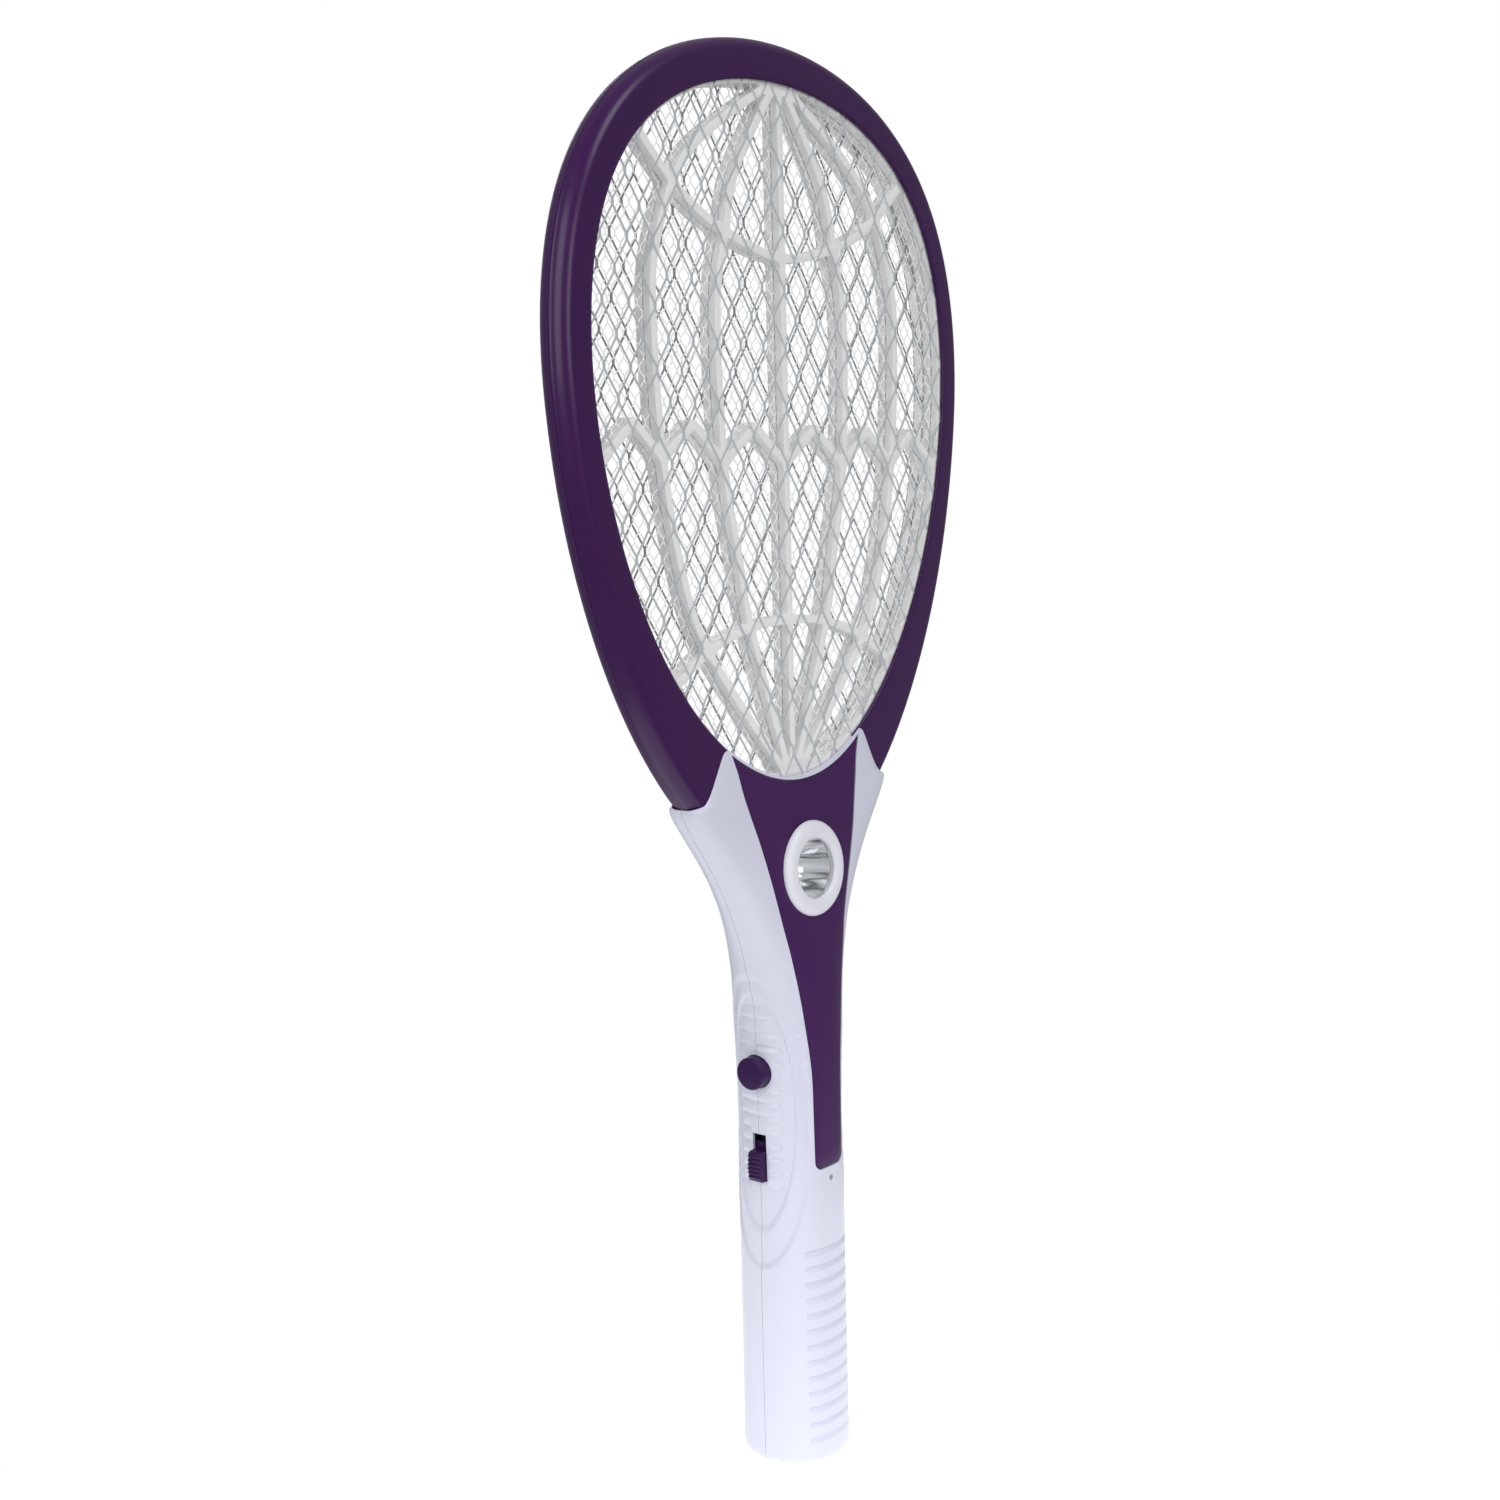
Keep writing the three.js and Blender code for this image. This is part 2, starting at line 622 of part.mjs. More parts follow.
function plugCarriage() {
  const [width, depth] = CARRIAGE_SIZE;
  const block = roundedBar(width / 2, depth / 2, CARRIAGE_LOW, CARRIAGE_HIGH, 2);
  const half = THUMB_WIDTH / 2;
  const thumb = box([-half, depth / 2 - 1, THUMB_LOW], [half, THUMB_FACE_Y - 0.6, THUMB_HIGH]);
  const ridges = [];
  for (let z = THUMB_LOW + 1.2; z < THUMB_HIGH - 1.2; z += 2) {
    ridges.push(box([-half, THUMB_FACE_Y - 1, z], [half, THUMB_FACE_Y, z + 1]));
  }
  const sockets = [-pinHalf, pinHalf].map((x) =>
    cylinder("z", PIN_RADIUS + GAP, CARRIAGE_LOW - 1, CARRIAGE_LOW + 8, [x, 0], 14),
  );
  return union([block, thumb, ...ridges]).subtract(union(sockets));
}

function plugPin(side) {
  const tip = PIN_TIP_Z;
  const top = CARRIAGE_LOW + 8 - GAP;
  const profile = [[0, tip], [PIN_RADIUS - 0.8, tip], [PIN_RADIUS, tip + 1.2], [PIN_RADIUS, top], [0, top]];
  return turnedZ(profile, 14).translate([side * pinHalf, 0, 0]);
}

function screw([x, z]) {
  const profile = [
    [0, -6.4],
    [0.4, -6.4],
    [SCREW_RADIUS - GAP, -5],
    [SCREW_RADIUS - GAP, 4.3],
    [SCREW_HEAD_RADIUS, 4.3],
    [SCREW_HEAD_RADIUS - 0.4, 5.8],
    [0, 6.1],
  ];
  const recess = [[0, 5], [0.9, 7], [0, 7]];
  return turned(profile, 10).subtract(turned(recess, 4)).translate([x, 0, z]);
}

// ---------------------------------------------------------------- assembly

function material(color, roughness, metalness = 0) {
  return new THREE.MeshStandardMaterial({ color, roughness, metalness });
}

const purplePlastic = () => material("#3e2648", 0.35);
const whitePlastic = () => material("#dcdfee", 0.45);
const gridPlastic = () => material("#d6d6d8", 0.5);
const meshMetal = () => material("#a9acb0", 0.35, 0.9);
const blackPlastic = () => material("#1b1b1e", 0.5);
const steel = () => material("#b9bcc0", 0.3, 1);

const head = new THREE.Group();
const handle = new THREE.Group();
const circuit = new THREE.Group();
const plug = new THREE.Group();
const group = new THREE.Group();
group.add(head, handle, circuit, plug);

function piece(parent, name, body, look) {
  const mesh = new THREE.Mesh(geometryOf(body), look);
  mesh.name = name;
  parent.add(mesh);
}

piece(head, "head_ring_front", ringHalf(-1), purplePlastic());
piece(head, "head_ring_back", ringHalf(1), purplePlastic());
piece(head, "front_grid", grid(-1), gridPlastic());
piece(head, "back_grid", grid(1), gridPlastic());
piece(head, "front_mesh", lattice(-OUTER_MESH_Y, OUTER_MESH_THICKNESS), meshMetal());
piece(head, "live_mesh", lattice(0, LIVE_MESH_THICKNESS), meshMetal());
piece(head, "back_mesh", lattice(OUTER_MESH_Y, OUTER_MESH_THICKNESS), meshMetal());

piece(handle, "handle_front_shell", frontShell(), whitePlastic());
piece(handle, "handle_back_shell", backShell(), whitePlastic());
piece(handle, "front_panel", frontPanel(), purplePlastic());
piece(handle, "torch_bezel", torchBezel(), whitePlastic());
piece(handle, "torch_lens", torchLens(), material("#e8ecef", 0.05));
piece(handle, "torch_reflector", torchReflector(), material("#d9dbdd", 0.08, 1));
piece(handle, "torch_led", torchLed(), material("#f2eecb", 0.2));
piece(handle, "zap_button", zapButton(), purplePlastic());
piece(handle, "slide_knob", slideKnob(), purplePlastic());
SCREWS.forEach((place, i) => piece(handle, `case_screw_${i + 1}`, screw(place), steel()));

const board = box([boardLeft, -BOARD_HALF_WIDTH, BOARD_LOW], [boardRight, BOARD_HALF_WIDTH, BOARD_HIGH]);
const pushSwitch = box([-12.6, -3, BUTTON_Z - 3], [boardLeft - GAP, 3, BUTTON_Z + 3]);
const plungerHole = cylinder("x", 1.9, -13, -8, [0, BUTTON_Z], 12);
piece(circuit, "main_board", board, material("#1f6b3a", 0.5));
piece(circuit, "push_switch_body", pushSwitch.subtract(plungerHole), blackPlastic());
piece(circuit, "push_switch_plunger", cylinder("x", 1.6, -14.1, -11.2, [0, BUTTON_Z], 12), blackPlastic());
piece(circuit, "slide_switch_body", box([-12.6, -3.5, 106], [boardLeft - GAP, 3.5, 130]), steel());
piece(circuit, "transformer", transformer(), material("#c9a227", 0.5));
piece(circuit, "high_voltage_capacitor", onBoard(13, -1, 158, [7, 15]), material("#8c2a1c", 0.4));
piece(circuit, "charging_capacitor", onBoard(12, -1, 134, [7, 14]), material("#8c2a1c", 0.4));
piece(circuit, "boost_capacitor", uprightCan(3.1, 11, 6.4, 146), material("#202a50", 0.35));
[150, 158, 166].forEach((z, i) => {
  piece(circuit, `diode_${i + 1}`, lyingPart(1.4, 4.2, -8.2, z), blackPlastic());
});
piece(circuit, "transistor", transistor(), blackPlastic());
piece(circuit, "bleed_resistor", lyingPart(1.2, 6, 6.5, 130), material("#c8a878", 0.5));
const lampProfile = [[0, 0], [1.5, 0], [1.5, 1], [0.9, 2.3], [0, 2.6]];
const lamp = turned(lampProfile, 10).rotate([180, 0, 0]).translate([0, -12.6, INDICATOR_Z]);
piece(circuit, "indicator_lamp", lamp, material("#c23b2a", 0.2));

piece(circuit, "battery", battery(), material("#4a6fa5", 0.45));
const liveRoute = [[-5, 3, 194], [-7, 5, 210], [-8, 5, 228], [-5, 1.5, 242], [-5, 0, 247], [-5, 0, 251.3]];
const frontRoute = [[0, 5, 204], [1, 6, 215], [2, 5.4, 230], [0.5, 2, 241], [0, 0, 247], [0, 0, 251.3]];
const backRoute = [[5, 3, 194], [8, 5, 210], [8, 5, 228], [5, 1.5, 242], [5, 0, 247], [5, 0, 251.3]];
piece(circuit, "live_mesh_lead", lead(liveRoute, 0.6), material("#b02020", 0.5));
piece(circuit, "front_mesh_lead", lead(frontRoute, 0.6), blackPlastic());
piece(circuit, "back_mesh_lead", lead(backRoute, 0.6), blackPlastic());
piece(plug, "plug_carriage", plugCarriage(), blackPlastic());
piece(plug, "plug_pin_left", plugPin(-1), steel());
piece(plug, "plug_pin_right", plugPin(1), steel());

export default group;
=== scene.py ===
"""An electric fly swatter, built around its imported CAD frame.

Lengths are millimetres until a mesh is made, which is in metres. The swatter stands on the base of its
handle: +Z is up, its front faces -Y, and its switches are on the -X side.
"""

import math

import bmesh
import bpy
import numpy as np
from mathutils import Matrix, Vector


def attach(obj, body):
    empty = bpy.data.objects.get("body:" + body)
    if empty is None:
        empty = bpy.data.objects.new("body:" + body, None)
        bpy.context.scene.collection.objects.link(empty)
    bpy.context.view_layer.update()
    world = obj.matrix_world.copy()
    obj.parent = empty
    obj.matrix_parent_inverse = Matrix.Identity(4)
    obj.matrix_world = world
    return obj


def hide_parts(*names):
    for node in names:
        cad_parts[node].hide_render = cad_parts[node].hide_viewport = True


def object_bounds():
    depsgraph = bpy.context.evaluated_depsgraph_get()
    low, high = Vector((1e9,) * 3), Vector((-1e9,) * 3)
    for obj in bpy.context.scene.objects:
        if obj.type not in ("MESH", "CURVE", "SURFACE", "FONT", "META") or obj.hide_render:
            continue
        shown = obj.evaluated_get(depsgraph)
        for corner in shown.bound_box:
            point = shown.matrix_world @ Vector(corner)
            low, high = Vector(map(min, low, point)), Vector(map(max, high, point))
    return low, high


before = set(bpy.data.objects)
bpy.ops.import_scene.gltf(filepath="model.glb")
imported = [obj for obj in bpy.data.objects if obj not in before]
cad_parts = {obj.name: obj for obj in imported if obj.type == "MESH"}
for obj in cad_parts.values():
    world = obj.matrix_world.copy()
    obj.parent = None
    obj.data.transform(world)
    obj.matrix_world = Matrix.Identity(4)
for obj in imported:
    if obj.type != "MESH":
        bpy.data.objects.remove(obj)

MM = 0.001
CAD_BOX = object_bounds()

# ---------------------------------------------------------------- driving dimensions

# Head opening, seen from the front
HEAD_Z = 378.5
OPENING_HALF_HEIGHT = 121.5
OPENING_HALF_WIDTH = 99.35
EGG = (0.19, 0.1, 0.07)  # share added to the width by the height's cosine, its square and its cube

# Ring
RING_WIDTH = 12.4
RING_CROWN = 1.9
RING_HALF_DEPTH = 7
RING_WALL = 1.8
RING_CORNERS = (("head_ring_front", -1, 4.6), ("head_ring_back", 1, 5.0))  # side in y, corner radius
RING_END = 155  # degrees from the top, where the ring ends inside the handle
FLARE_START = 85
FLARE_SPAN = 65
FLARE = 12.8
FLARE_POWER = 1.9
LIP_DEPTH = 6.1
CHANNEL = 4.5  # width of the channel that holds the grids and meshes
SEAM = 0.08  # half the gap between a front part and its back part
RING_FIT = 0.12  # room round the ring in the handle's sockets
SOCKET_START = 138
SOCKET_CORNER = 4.8

# Grids and meshes
RIB_WIDTH = 3.0
RIM = (1.6, 2.6)  # the grid's rim: its middle line outside the opening, and its half width
LUG = (9.5, 498.5, 2.2)  # the grid's top lug: half width, height of its middle, half height
GRID_EDGE = 0.22  # rounding of the grids' edges
FRONT_GRID = (-5.5, -2.3)
BACK_GRID = (-1.8, 1.4)
BACK_RIM = (2.1, 5.8)
GRID_STEP = 0.5  # sampling step of the grid's outline
FILLET = 1.6
FRONT_MESH_Y = -5.75
LIVE_MESH_Y = -2.05
BACK_MESH_Y = 1.75
BACK_MESH_RISE = 2.4  # the back mesh is cut from another place of the same sheet
MESH_REACH = 3.4  # how far the meshes go under the lips
OUTER_SHEET = {
    "cell": (12.7, 20.5),
    "bond": 1.7,
    "strand": 0.62,
    "bond_width": 1.05,
    "thickness": 0.3,
    "crown": 0.1,
}
LIVE_SHEET = {
    "cell": (4.8, 7.0),
    "bond": 1.1,
    "strand": 0.4,
    "bond_width": 0.5,
    "thickness": 0.12,
    "crown": 0.08,
}

# Handle: z, half width, half depth, squareness of the front and of the back
HANDLE_SECTIONS = np.array([
    (0, 19, 19.3, 2.4, 2.1),
    (4, 19, 19.3, 2.4, 2.1),
    (80, 19, 19, 2.4, 2.1),
    (150, 20.4, 18.8, 2.4, 2.1),
    (172, 21, 18.6, 2.4, 2.1),
    (184, 22.6, 17.9, 2.5, 2.1),
    (194, 25, 17, 2.7, 2.2),
    (204, 28.8, 15.3, 3, 2.3),
    (214, 33.4, 14.4, 3.3, 2.4),
    (224, 39.3, 13.5, 3.5, 2.6),
    (234, 46.4, 12.4, 3.8, 3),
    (244, 53.8, 10.7, 5, 4),
    (248, 56.2, 10.0, 5.8, 5),
    (249.6, 56.8, 9.8, 6.2, 5.4),
    (250.5, 57.0, 9.7, 6.4, 5.6),
    (251.2, 56.9, 9.6, 6.6, 5.8),
    (251.7, 56.4, 9.5, 6.7, 6),
    (252.1, 55.6, 9.45, 6.8, 6.1),
    (252.7, 54.2, 9.4, 7, 6.2),
    (255, 51.7, 9.15, 7.4, 6.8),
    (258.4, 49.5, 8.8, 8, 7.5),
    (263, 47.2, 8.35, 9, 8.4),
    (267, 45.5, 8.05, 9, 9),
    (269.3, 44.4, 7.9, 9, 9),
    (270.1, 43.5, 7.85, 9, 9),
    (270.6, 41.9, 7.8, 9, 9),
])
HANDLE_WALL = 2.6
OPENING_WALL = 6.5
BASE_FILLET = 3.2
AROUND = 144  # points round the handle
GRIP_TOP = 83.0
GRIP_PITCH = 6.0
GRIP_COUNT = 13
GRIP_HALF = 12.6
GRIP_DEPTH = 0.75
SIDE_GROOVES = np.arange(175, 104, -5.2)
SIDE_GROOVE_DEPTH = 0.6
OVALS = ((61, 131, 55, 0.75), (45, 134.5, 44.5, 0.7))  # half angle, middle, half height, depth
SECTION_WINDOW = 4  # how far the listed sections are averaged up and down
BEYOND = (90, 40, 300)  # a corner outside the handle

# Panel
PANEL_SIDE = ((150, 8.5), (180, 12.7), (200, 17.2), (220, 23), (240, 29.4), (260, 35.6))
PANEL_BOTTOM = 113.0
PANEL_BOTTOM_HALF = 8
PANEL_CORNER = 3
PANEL_TOP_END = 154  # degrees from the top, where its upper edge starts along the opening
PANEL_LIP = 1.2
PANEL_THICKNESS = 1.1
PANEL_EDGE = ((0.3, 0.07), (0.1, 0.22), (0, 0.45), (0, PANEL_THICKNESS))  # inset, depth
GAP = 0.3  # room between parts that fit together

# Torch
TORCH_Z = 223.6
TORCH_Y = -13.7
TORCH_TILT = 4
BEZEL_RADIUS = 17.5
BEZEL_BORE = 11.3
BEZEL_NECK = 15.2
REFLECTOR_DEPTH = 9

# Switches
BUTTON_Z = 150
BUTTON_RADIUS = 6
BUTTON_FACE = -23.6
BUTTON_FLANGE = (7.4, -15.6, -14.4)  # radius, and where it starts and ends
SLOT = (108.6, 126.4)
SLOT_MIDDLE = 117.5
SLOT_WIDTH = 6.2
KNOB_LOW = 108.9
KNOB_LENGTH = 11.4
KNOB_FACE = -22.2
KNOB_RIDGES = 6
INDICATOR_Z = 108.4
INDICATOR_RADIUS = 1.1

# Plug and screws
PIN_X = 9.5
PIN_RADIUS = 2.0
THUMB_WINDOW = (5.3, 10.2, 41.3)  # half width, bottom and top
SCREWS = ((0, 99.5), (0, 197.5), (-29, 244), (29, 244))
FRONT_BOSS = 3.2
BACK_BOSS = 4.2
PILOT_HOLE = 1.3
SHANK_HOLE = 1.6
HEAD_HOLE = 3.0

# Camera, found from the photograph: degrees, metres and millimetres of lens
CAMERA = {"azimuth": -51.66, "elevation": 6.775, "roll": -1.366, "lens": 45.59}
CAMERA_PLACE = Vector((-0.5471, -0.4182, 0.3481))

# Lights: place, target, width and height in metres, watts
SOFTBOXES = {
    "left_softbox": ((-1.35, 0.1, 0.85), (0, 0, 0.4), (0.8, 1.1), 8.0),
    "front_softbox": ((-0.75, -1.45, 0.8), (0, 0, 0.3), (0.7, 0.9), 6.4),
    "back_softbox": ((0.9, 1.3, 0.8), (0, 0, 0.3), (0.7, 0.9), 4.5),
}
SUN_WAY = (-0.04, 0.62, -0.78)
SUN_STRENGTH = 0.85
SUN_ANGLE = 30
WORLD_STRENGTH = 0.32  # what lights the object, while the camera sees plain white
FLOOR_RADIUS = 0.3
FLOOR_GLOW = 0.6
REFLECTOR_PAINTED_GLINTS = 0.34  # emission strength of the painted glints on the reflector's facets
LIVE_MESH_PAINTED_GLINTS = 0.08  # emission strength of the painted glints on the fine strands

# ---------------------------------------------------------------- camera, stage and lights


def make_camera():
    azimuth = math.radians(CAMERA["azimuth"])
    elevation = math.radians(CAMERA["elevation"])
    back = Vector((
        math.sin(azimuth) * math.cos(elevation),
        -math.cos(azimuth) * math.cos(elevation),
        math.sin(elevation),
    ))
    roll = Matrix.Rotation(math.radians(CAMERA["roll"]), 3, "Z").to_quaternion()
    turn = back.to_track_quat("Z", "Y") @ roll
    camera = bpy.data.objects.new("photo_camera", bpy.data.cameras.new("photo_camera"))
    camera.data.lens = CAMERA["lens"]
    camera.data.clip_start = 0.01
    camera.matrix_world = Matrix.LocRotScale(CAMERA_PLACE, turn, None)
    bpy.context.collection.objects.link(camera)
    bpy.context.scene.camera = camera


def area_light(name, place, target, size, power):
    light = bpy.data.lights.new(name, "AREA")
    light.shape = "RECTANGLE"
    light.size = size[0]
    light.size_y = size[1]
    light.energy = power
    lamp = bpy.data.objects.new(name, light)
    lamp.location = place
    lamp.rotation_euler = (Vector(target) - Vector(place)).to_track_quat("-Z", "Y").to_euler()
    bpy.context.collection.objects.link(lamp)


def nodes_of(material_or_world):
    material_or_world.use_nodes = True
    tree = material_or_world.node_tree
    return tree.nodes, tree.links


def make_stage():
    world = bpy.data.worlds.new("studio")
    bpy.context.scene.world = world
    nodes, links = nodes_of(world)
    nodes["Background"].inputs["Color"].default_value = (1, 1, 1, 1)
    nodes["Background"].inputs["Strength"].default_value = WORLD_STRENGTH
    seen = nodes.new("ShaderNodeBackground")
    seen.inputs["Color"].default_value = (1, 1, 1, 1)
    path = nodes.new("ShaderNodeLightPath")
    mix = nodes.new("ShaderNodeMixShader")
    links.new(path.outputs["Is Camera Ray"], mix.inputs["Fac"])
    links.new(nodes["Background"].outputs[0], mix.inputs[1])
    links.new(seen.outputs[0], mix.inputs[2])
    links.new(mix.outputs[0], nodes["World Output"].inputs["Surface"])

    bpy.ops.mesh.primitive_circle_add(
        vertices=96, radius=FLOOR_RADIUS, fill_type="NGON", location=(0, 0, 0)
    )
    floor = bpy.context.object
    floor.name = "floor"
    floor.location.z = CAD_BOX[0].z - 0.0002
    pale = bpy.data.materials.new("pale_floor")
    nodes, links = nodes_of(pale)
    shader = nodes["Principled BSDF"]
    shader.inputs["Base Color"].default_value = (0.93, 0.93, 0.93, 1)
    shader.inputs["Roughness"].default_value = 0.9
    shader.inputs["Specular IOR Level"].default_value = 0.1
    shader.inputs["Emission Color"].default_value = (1, 1, 1, 1)
    shader.inputs["Emission Strength"].default_value = FLOOR_GLOW
    floor.data.materials.append(pale)

    sun = bpy.data.objects.new("overhead", bpy.data.lights.new("overhead", "SUN"))
    sun.data.energy = SUN_STRENGTH
    sun.data.angle = math.radians(SUN_ANGLE)
    sun.rotation_euler = Vector(SUN_WAY).to_track_quat("-Z", "Y").to_euler()
    bpy.context.collection.objects.link(sun)
    for name, light in SOFTBOXES.items():
        area_light(name, *light)
    bpy.context.scene.view_settings.view_transform = "Standard"


# ---------------------------------------------------------------- materials


def linear(colour):
    """An sRGB colour, 0 to 255, as the linear colour that shaders take."""
    c = np.array(colour) / 255
    return tuple(np.where(c < 0.04045, c / 12.92, ((c + 0.055) / 1.055) ** 2.4)) + (1.0,)


def finish_material(
    name,
    colour,
    roughness,
    scale=900,
    bump=0.04,
    variation=0.06,
    metallic=0.0,
    stretch=(1, 1, 1),
    level=0.5,
    coat=0.0,
):
    """A moulded or metal surface: fine grain in its bump, and a slow drift in its colour and gloss."""
    material = bpy.data.materials.new(name)
    nodes, links = nodes_of(material)
    shader = nodes["Principled BSDF"]
    place = nodes.new("ShaderNodeTexCoord")
    mapping = nodes.new("ShaderNodeMapping")
    mapping.inputs["Scale"].default_value = stretch
    links.new(place.outputs["Object"], mapping.inputs["Vector"])

    def noise(size, detail):
        node = nodes.new("ShaderNodeTexNoise")
        node.inputs["Scale"].default_value = size
        node.inputs["Detail"].default_value = detail
        links.new(mapping.outputs["Vector"], node.inputs["Vector"])
        return node.outputs["Fac"]

    drift = noise(22, 3)
    grain = noise(scale, 4)
    mix = nodes.new("ShaderNodeMix")
    mix.data_type = "RGBA"
    base = np.array(linear(colour))
    mix.inputs["A"].default_value = tuple(np.append(base[:3] * (1 - variation), 1))
    mix.inputs["B"].default_value = tuple(np.append(np.minimum(base[:3] * (1 + variation), 1), 1))
    links.new(drift, mix.inputs["Factor"])
    links.new(mix.outputs["Result"], shader.inputs["Base Color"])

    gloss = nodes.new("ShaderNodeMapRange")
    gloss.inputs["To Min"].default_value = roughness * 0.85
    gloss.inputs["To Max"].default_value = min(roughness * 1.15, 1)
    links.new(grain, gloss.inputs["Value"])
    links.new(gloss.outputs["Result"], shader.inputs["Roughness"])

    height = nodes.new("ShaderNodeBump")
    height.inputs["Strength"].default_value = bump
    height.inputs["Distance"].default_value = 0.0002
    links.new(grain, height.inputs["Height"])
    links.new(height.outputs["Normal"], shader.inputs["Normal"])
    shader.inputs["Metallic"].default_value = metallic
    shader.inputs["Specular IOR Level"].default_value = level
    shader.inputs["Coat Weight"].default_value = coat
    shader.inputs["Coat Roughness"].default_value = 0.24
    return material


# The stops of the reflector's painted reflection bands in the noise, and how light each is (0 to 255)
PAINTED_REFLECTION_BANDS = ((0.34, 84), (0.41, 250), (0.48, 214), (0.55, 208), (0.6, 92), (0.66, 250))


def chrome_with_painted_reflections(name):
    """Plated plastic with painted reflections: noise bands in its colour stand for the light and dark
    reflections of its radial facets, and the same bands glow as painted glints.
    """
    material = finish_material(name, (150, 153, 156), 0.09, 500, 0.02, 0.0, 0.6)
    nodes, links = nodes_of(material)
    shader = nodes["Principled BSDF"]
    place = nodes.new("ShaderNodeTexCoord")
    mapping = nodes.new("ShaderNodeMapping")
    mapping.inputs["Scale"].default_value = (12, 20, 210)
    painted_reflection_noise = nodes.new("ShaderNodeTexNoise")
    painted_reflection_ramp = nodes.new("ShaderNodeValToRGB")
    painted_reflection_noise.inputs["Scale"].default_value = 1.0
    painted_reflection_noise.inputs["Detail"].default_value = 1.0
    stops = painted_reflection_ramp.color_ramp.elements
    while len(stops) < len(PAINTED_REFLECTION_BANDS):
        stops.new(1.0)
    for stop, (position, grey) in zip(stops, PAINTED_REFLECTION_BANDS):
        stop.position = position
        stop.color = linear((grey, grey + 2, grey + 4))
    links.new(place.outputs["Object"], mapping.inputs["Vector"])
    links.new(mapping.outputs["Vector"], painted_reflection_noise.inputs["Vector"])
    links.new(painted_reflection_noise.outputs["Fac"], painted_reflection_ramp.inputs["Fac"])
    # The painted reflection bands go into the base colour, and into the emission as painted glints
    links.new(painted_reflection_ramp.outputs["Color"], shader.inputs["Base Color"])
    links.new(painted_reflection_ramp.outputs["Color"], shader.inputs["Emission Color"])
    shader.inputs["Emission Strength"].default_value = REFLECTOR_PAINTED_GLINTS
    return material


def clear_plastic(name):
    material = finish_material(name, (246, 248, 250), 0.04, scale=300, bump=0.02, variation=0.01)
    shader = material.node_tree.nodes["Principled BSDF"]
    shader.inputs["Transmission Weight"].default_value = 1.0
    shader.inputs["IOR"].default_value = 1.49
    return material


# The CAD nodes of each material slot, as in the record
SLOT_NODES = {
    "ring_purple": "head_ring_front head_ring_back",
    "grid_white": "front_grid back_grid",
    "mesh_metal": "front_mesh back_mesh",
    "live_metal": "live_mesh",
    "handle_white": "handle_front_shell handle_back_shell torch_bezel",
    "panel_purple": "front_panel",
    "clear": "torch_lens",
    "chrome": "torch_reflector",
    "led_amber": "torch_led",
    "button_purple": "zap_button slide_knob",
    "steel": "case_screw_1 case_screw_2 case_screw_3 case_screw_4 slide_switch_body",
    "board_green": "main_board",
    "black_plastic": "push_switch_body push_switch_plunger diode_1 diode_2 diode_3 transistor plug_carriage",
    "transformer_yellow": "transformer",
    "capacitor_red": "high_voltage_capacitor charging_capacitor",
    "capacitor_blue": "boost_capacitor",
    "resistor_tan": "bleed_resistor",
    "lamp_red": "indicator_lamp",
    "battery_blue": "battery",
    "lead_red": "live_mesh_lead",
    "lead_black": "front_mesh_lead back_mesh_lead",
    "pin_metal": "plug_pin_left plug_pin_right",
}
NODE_SLOTS = {node: slot for slot, nodes in SLOT_NODES.items() for node in nodes.split()}


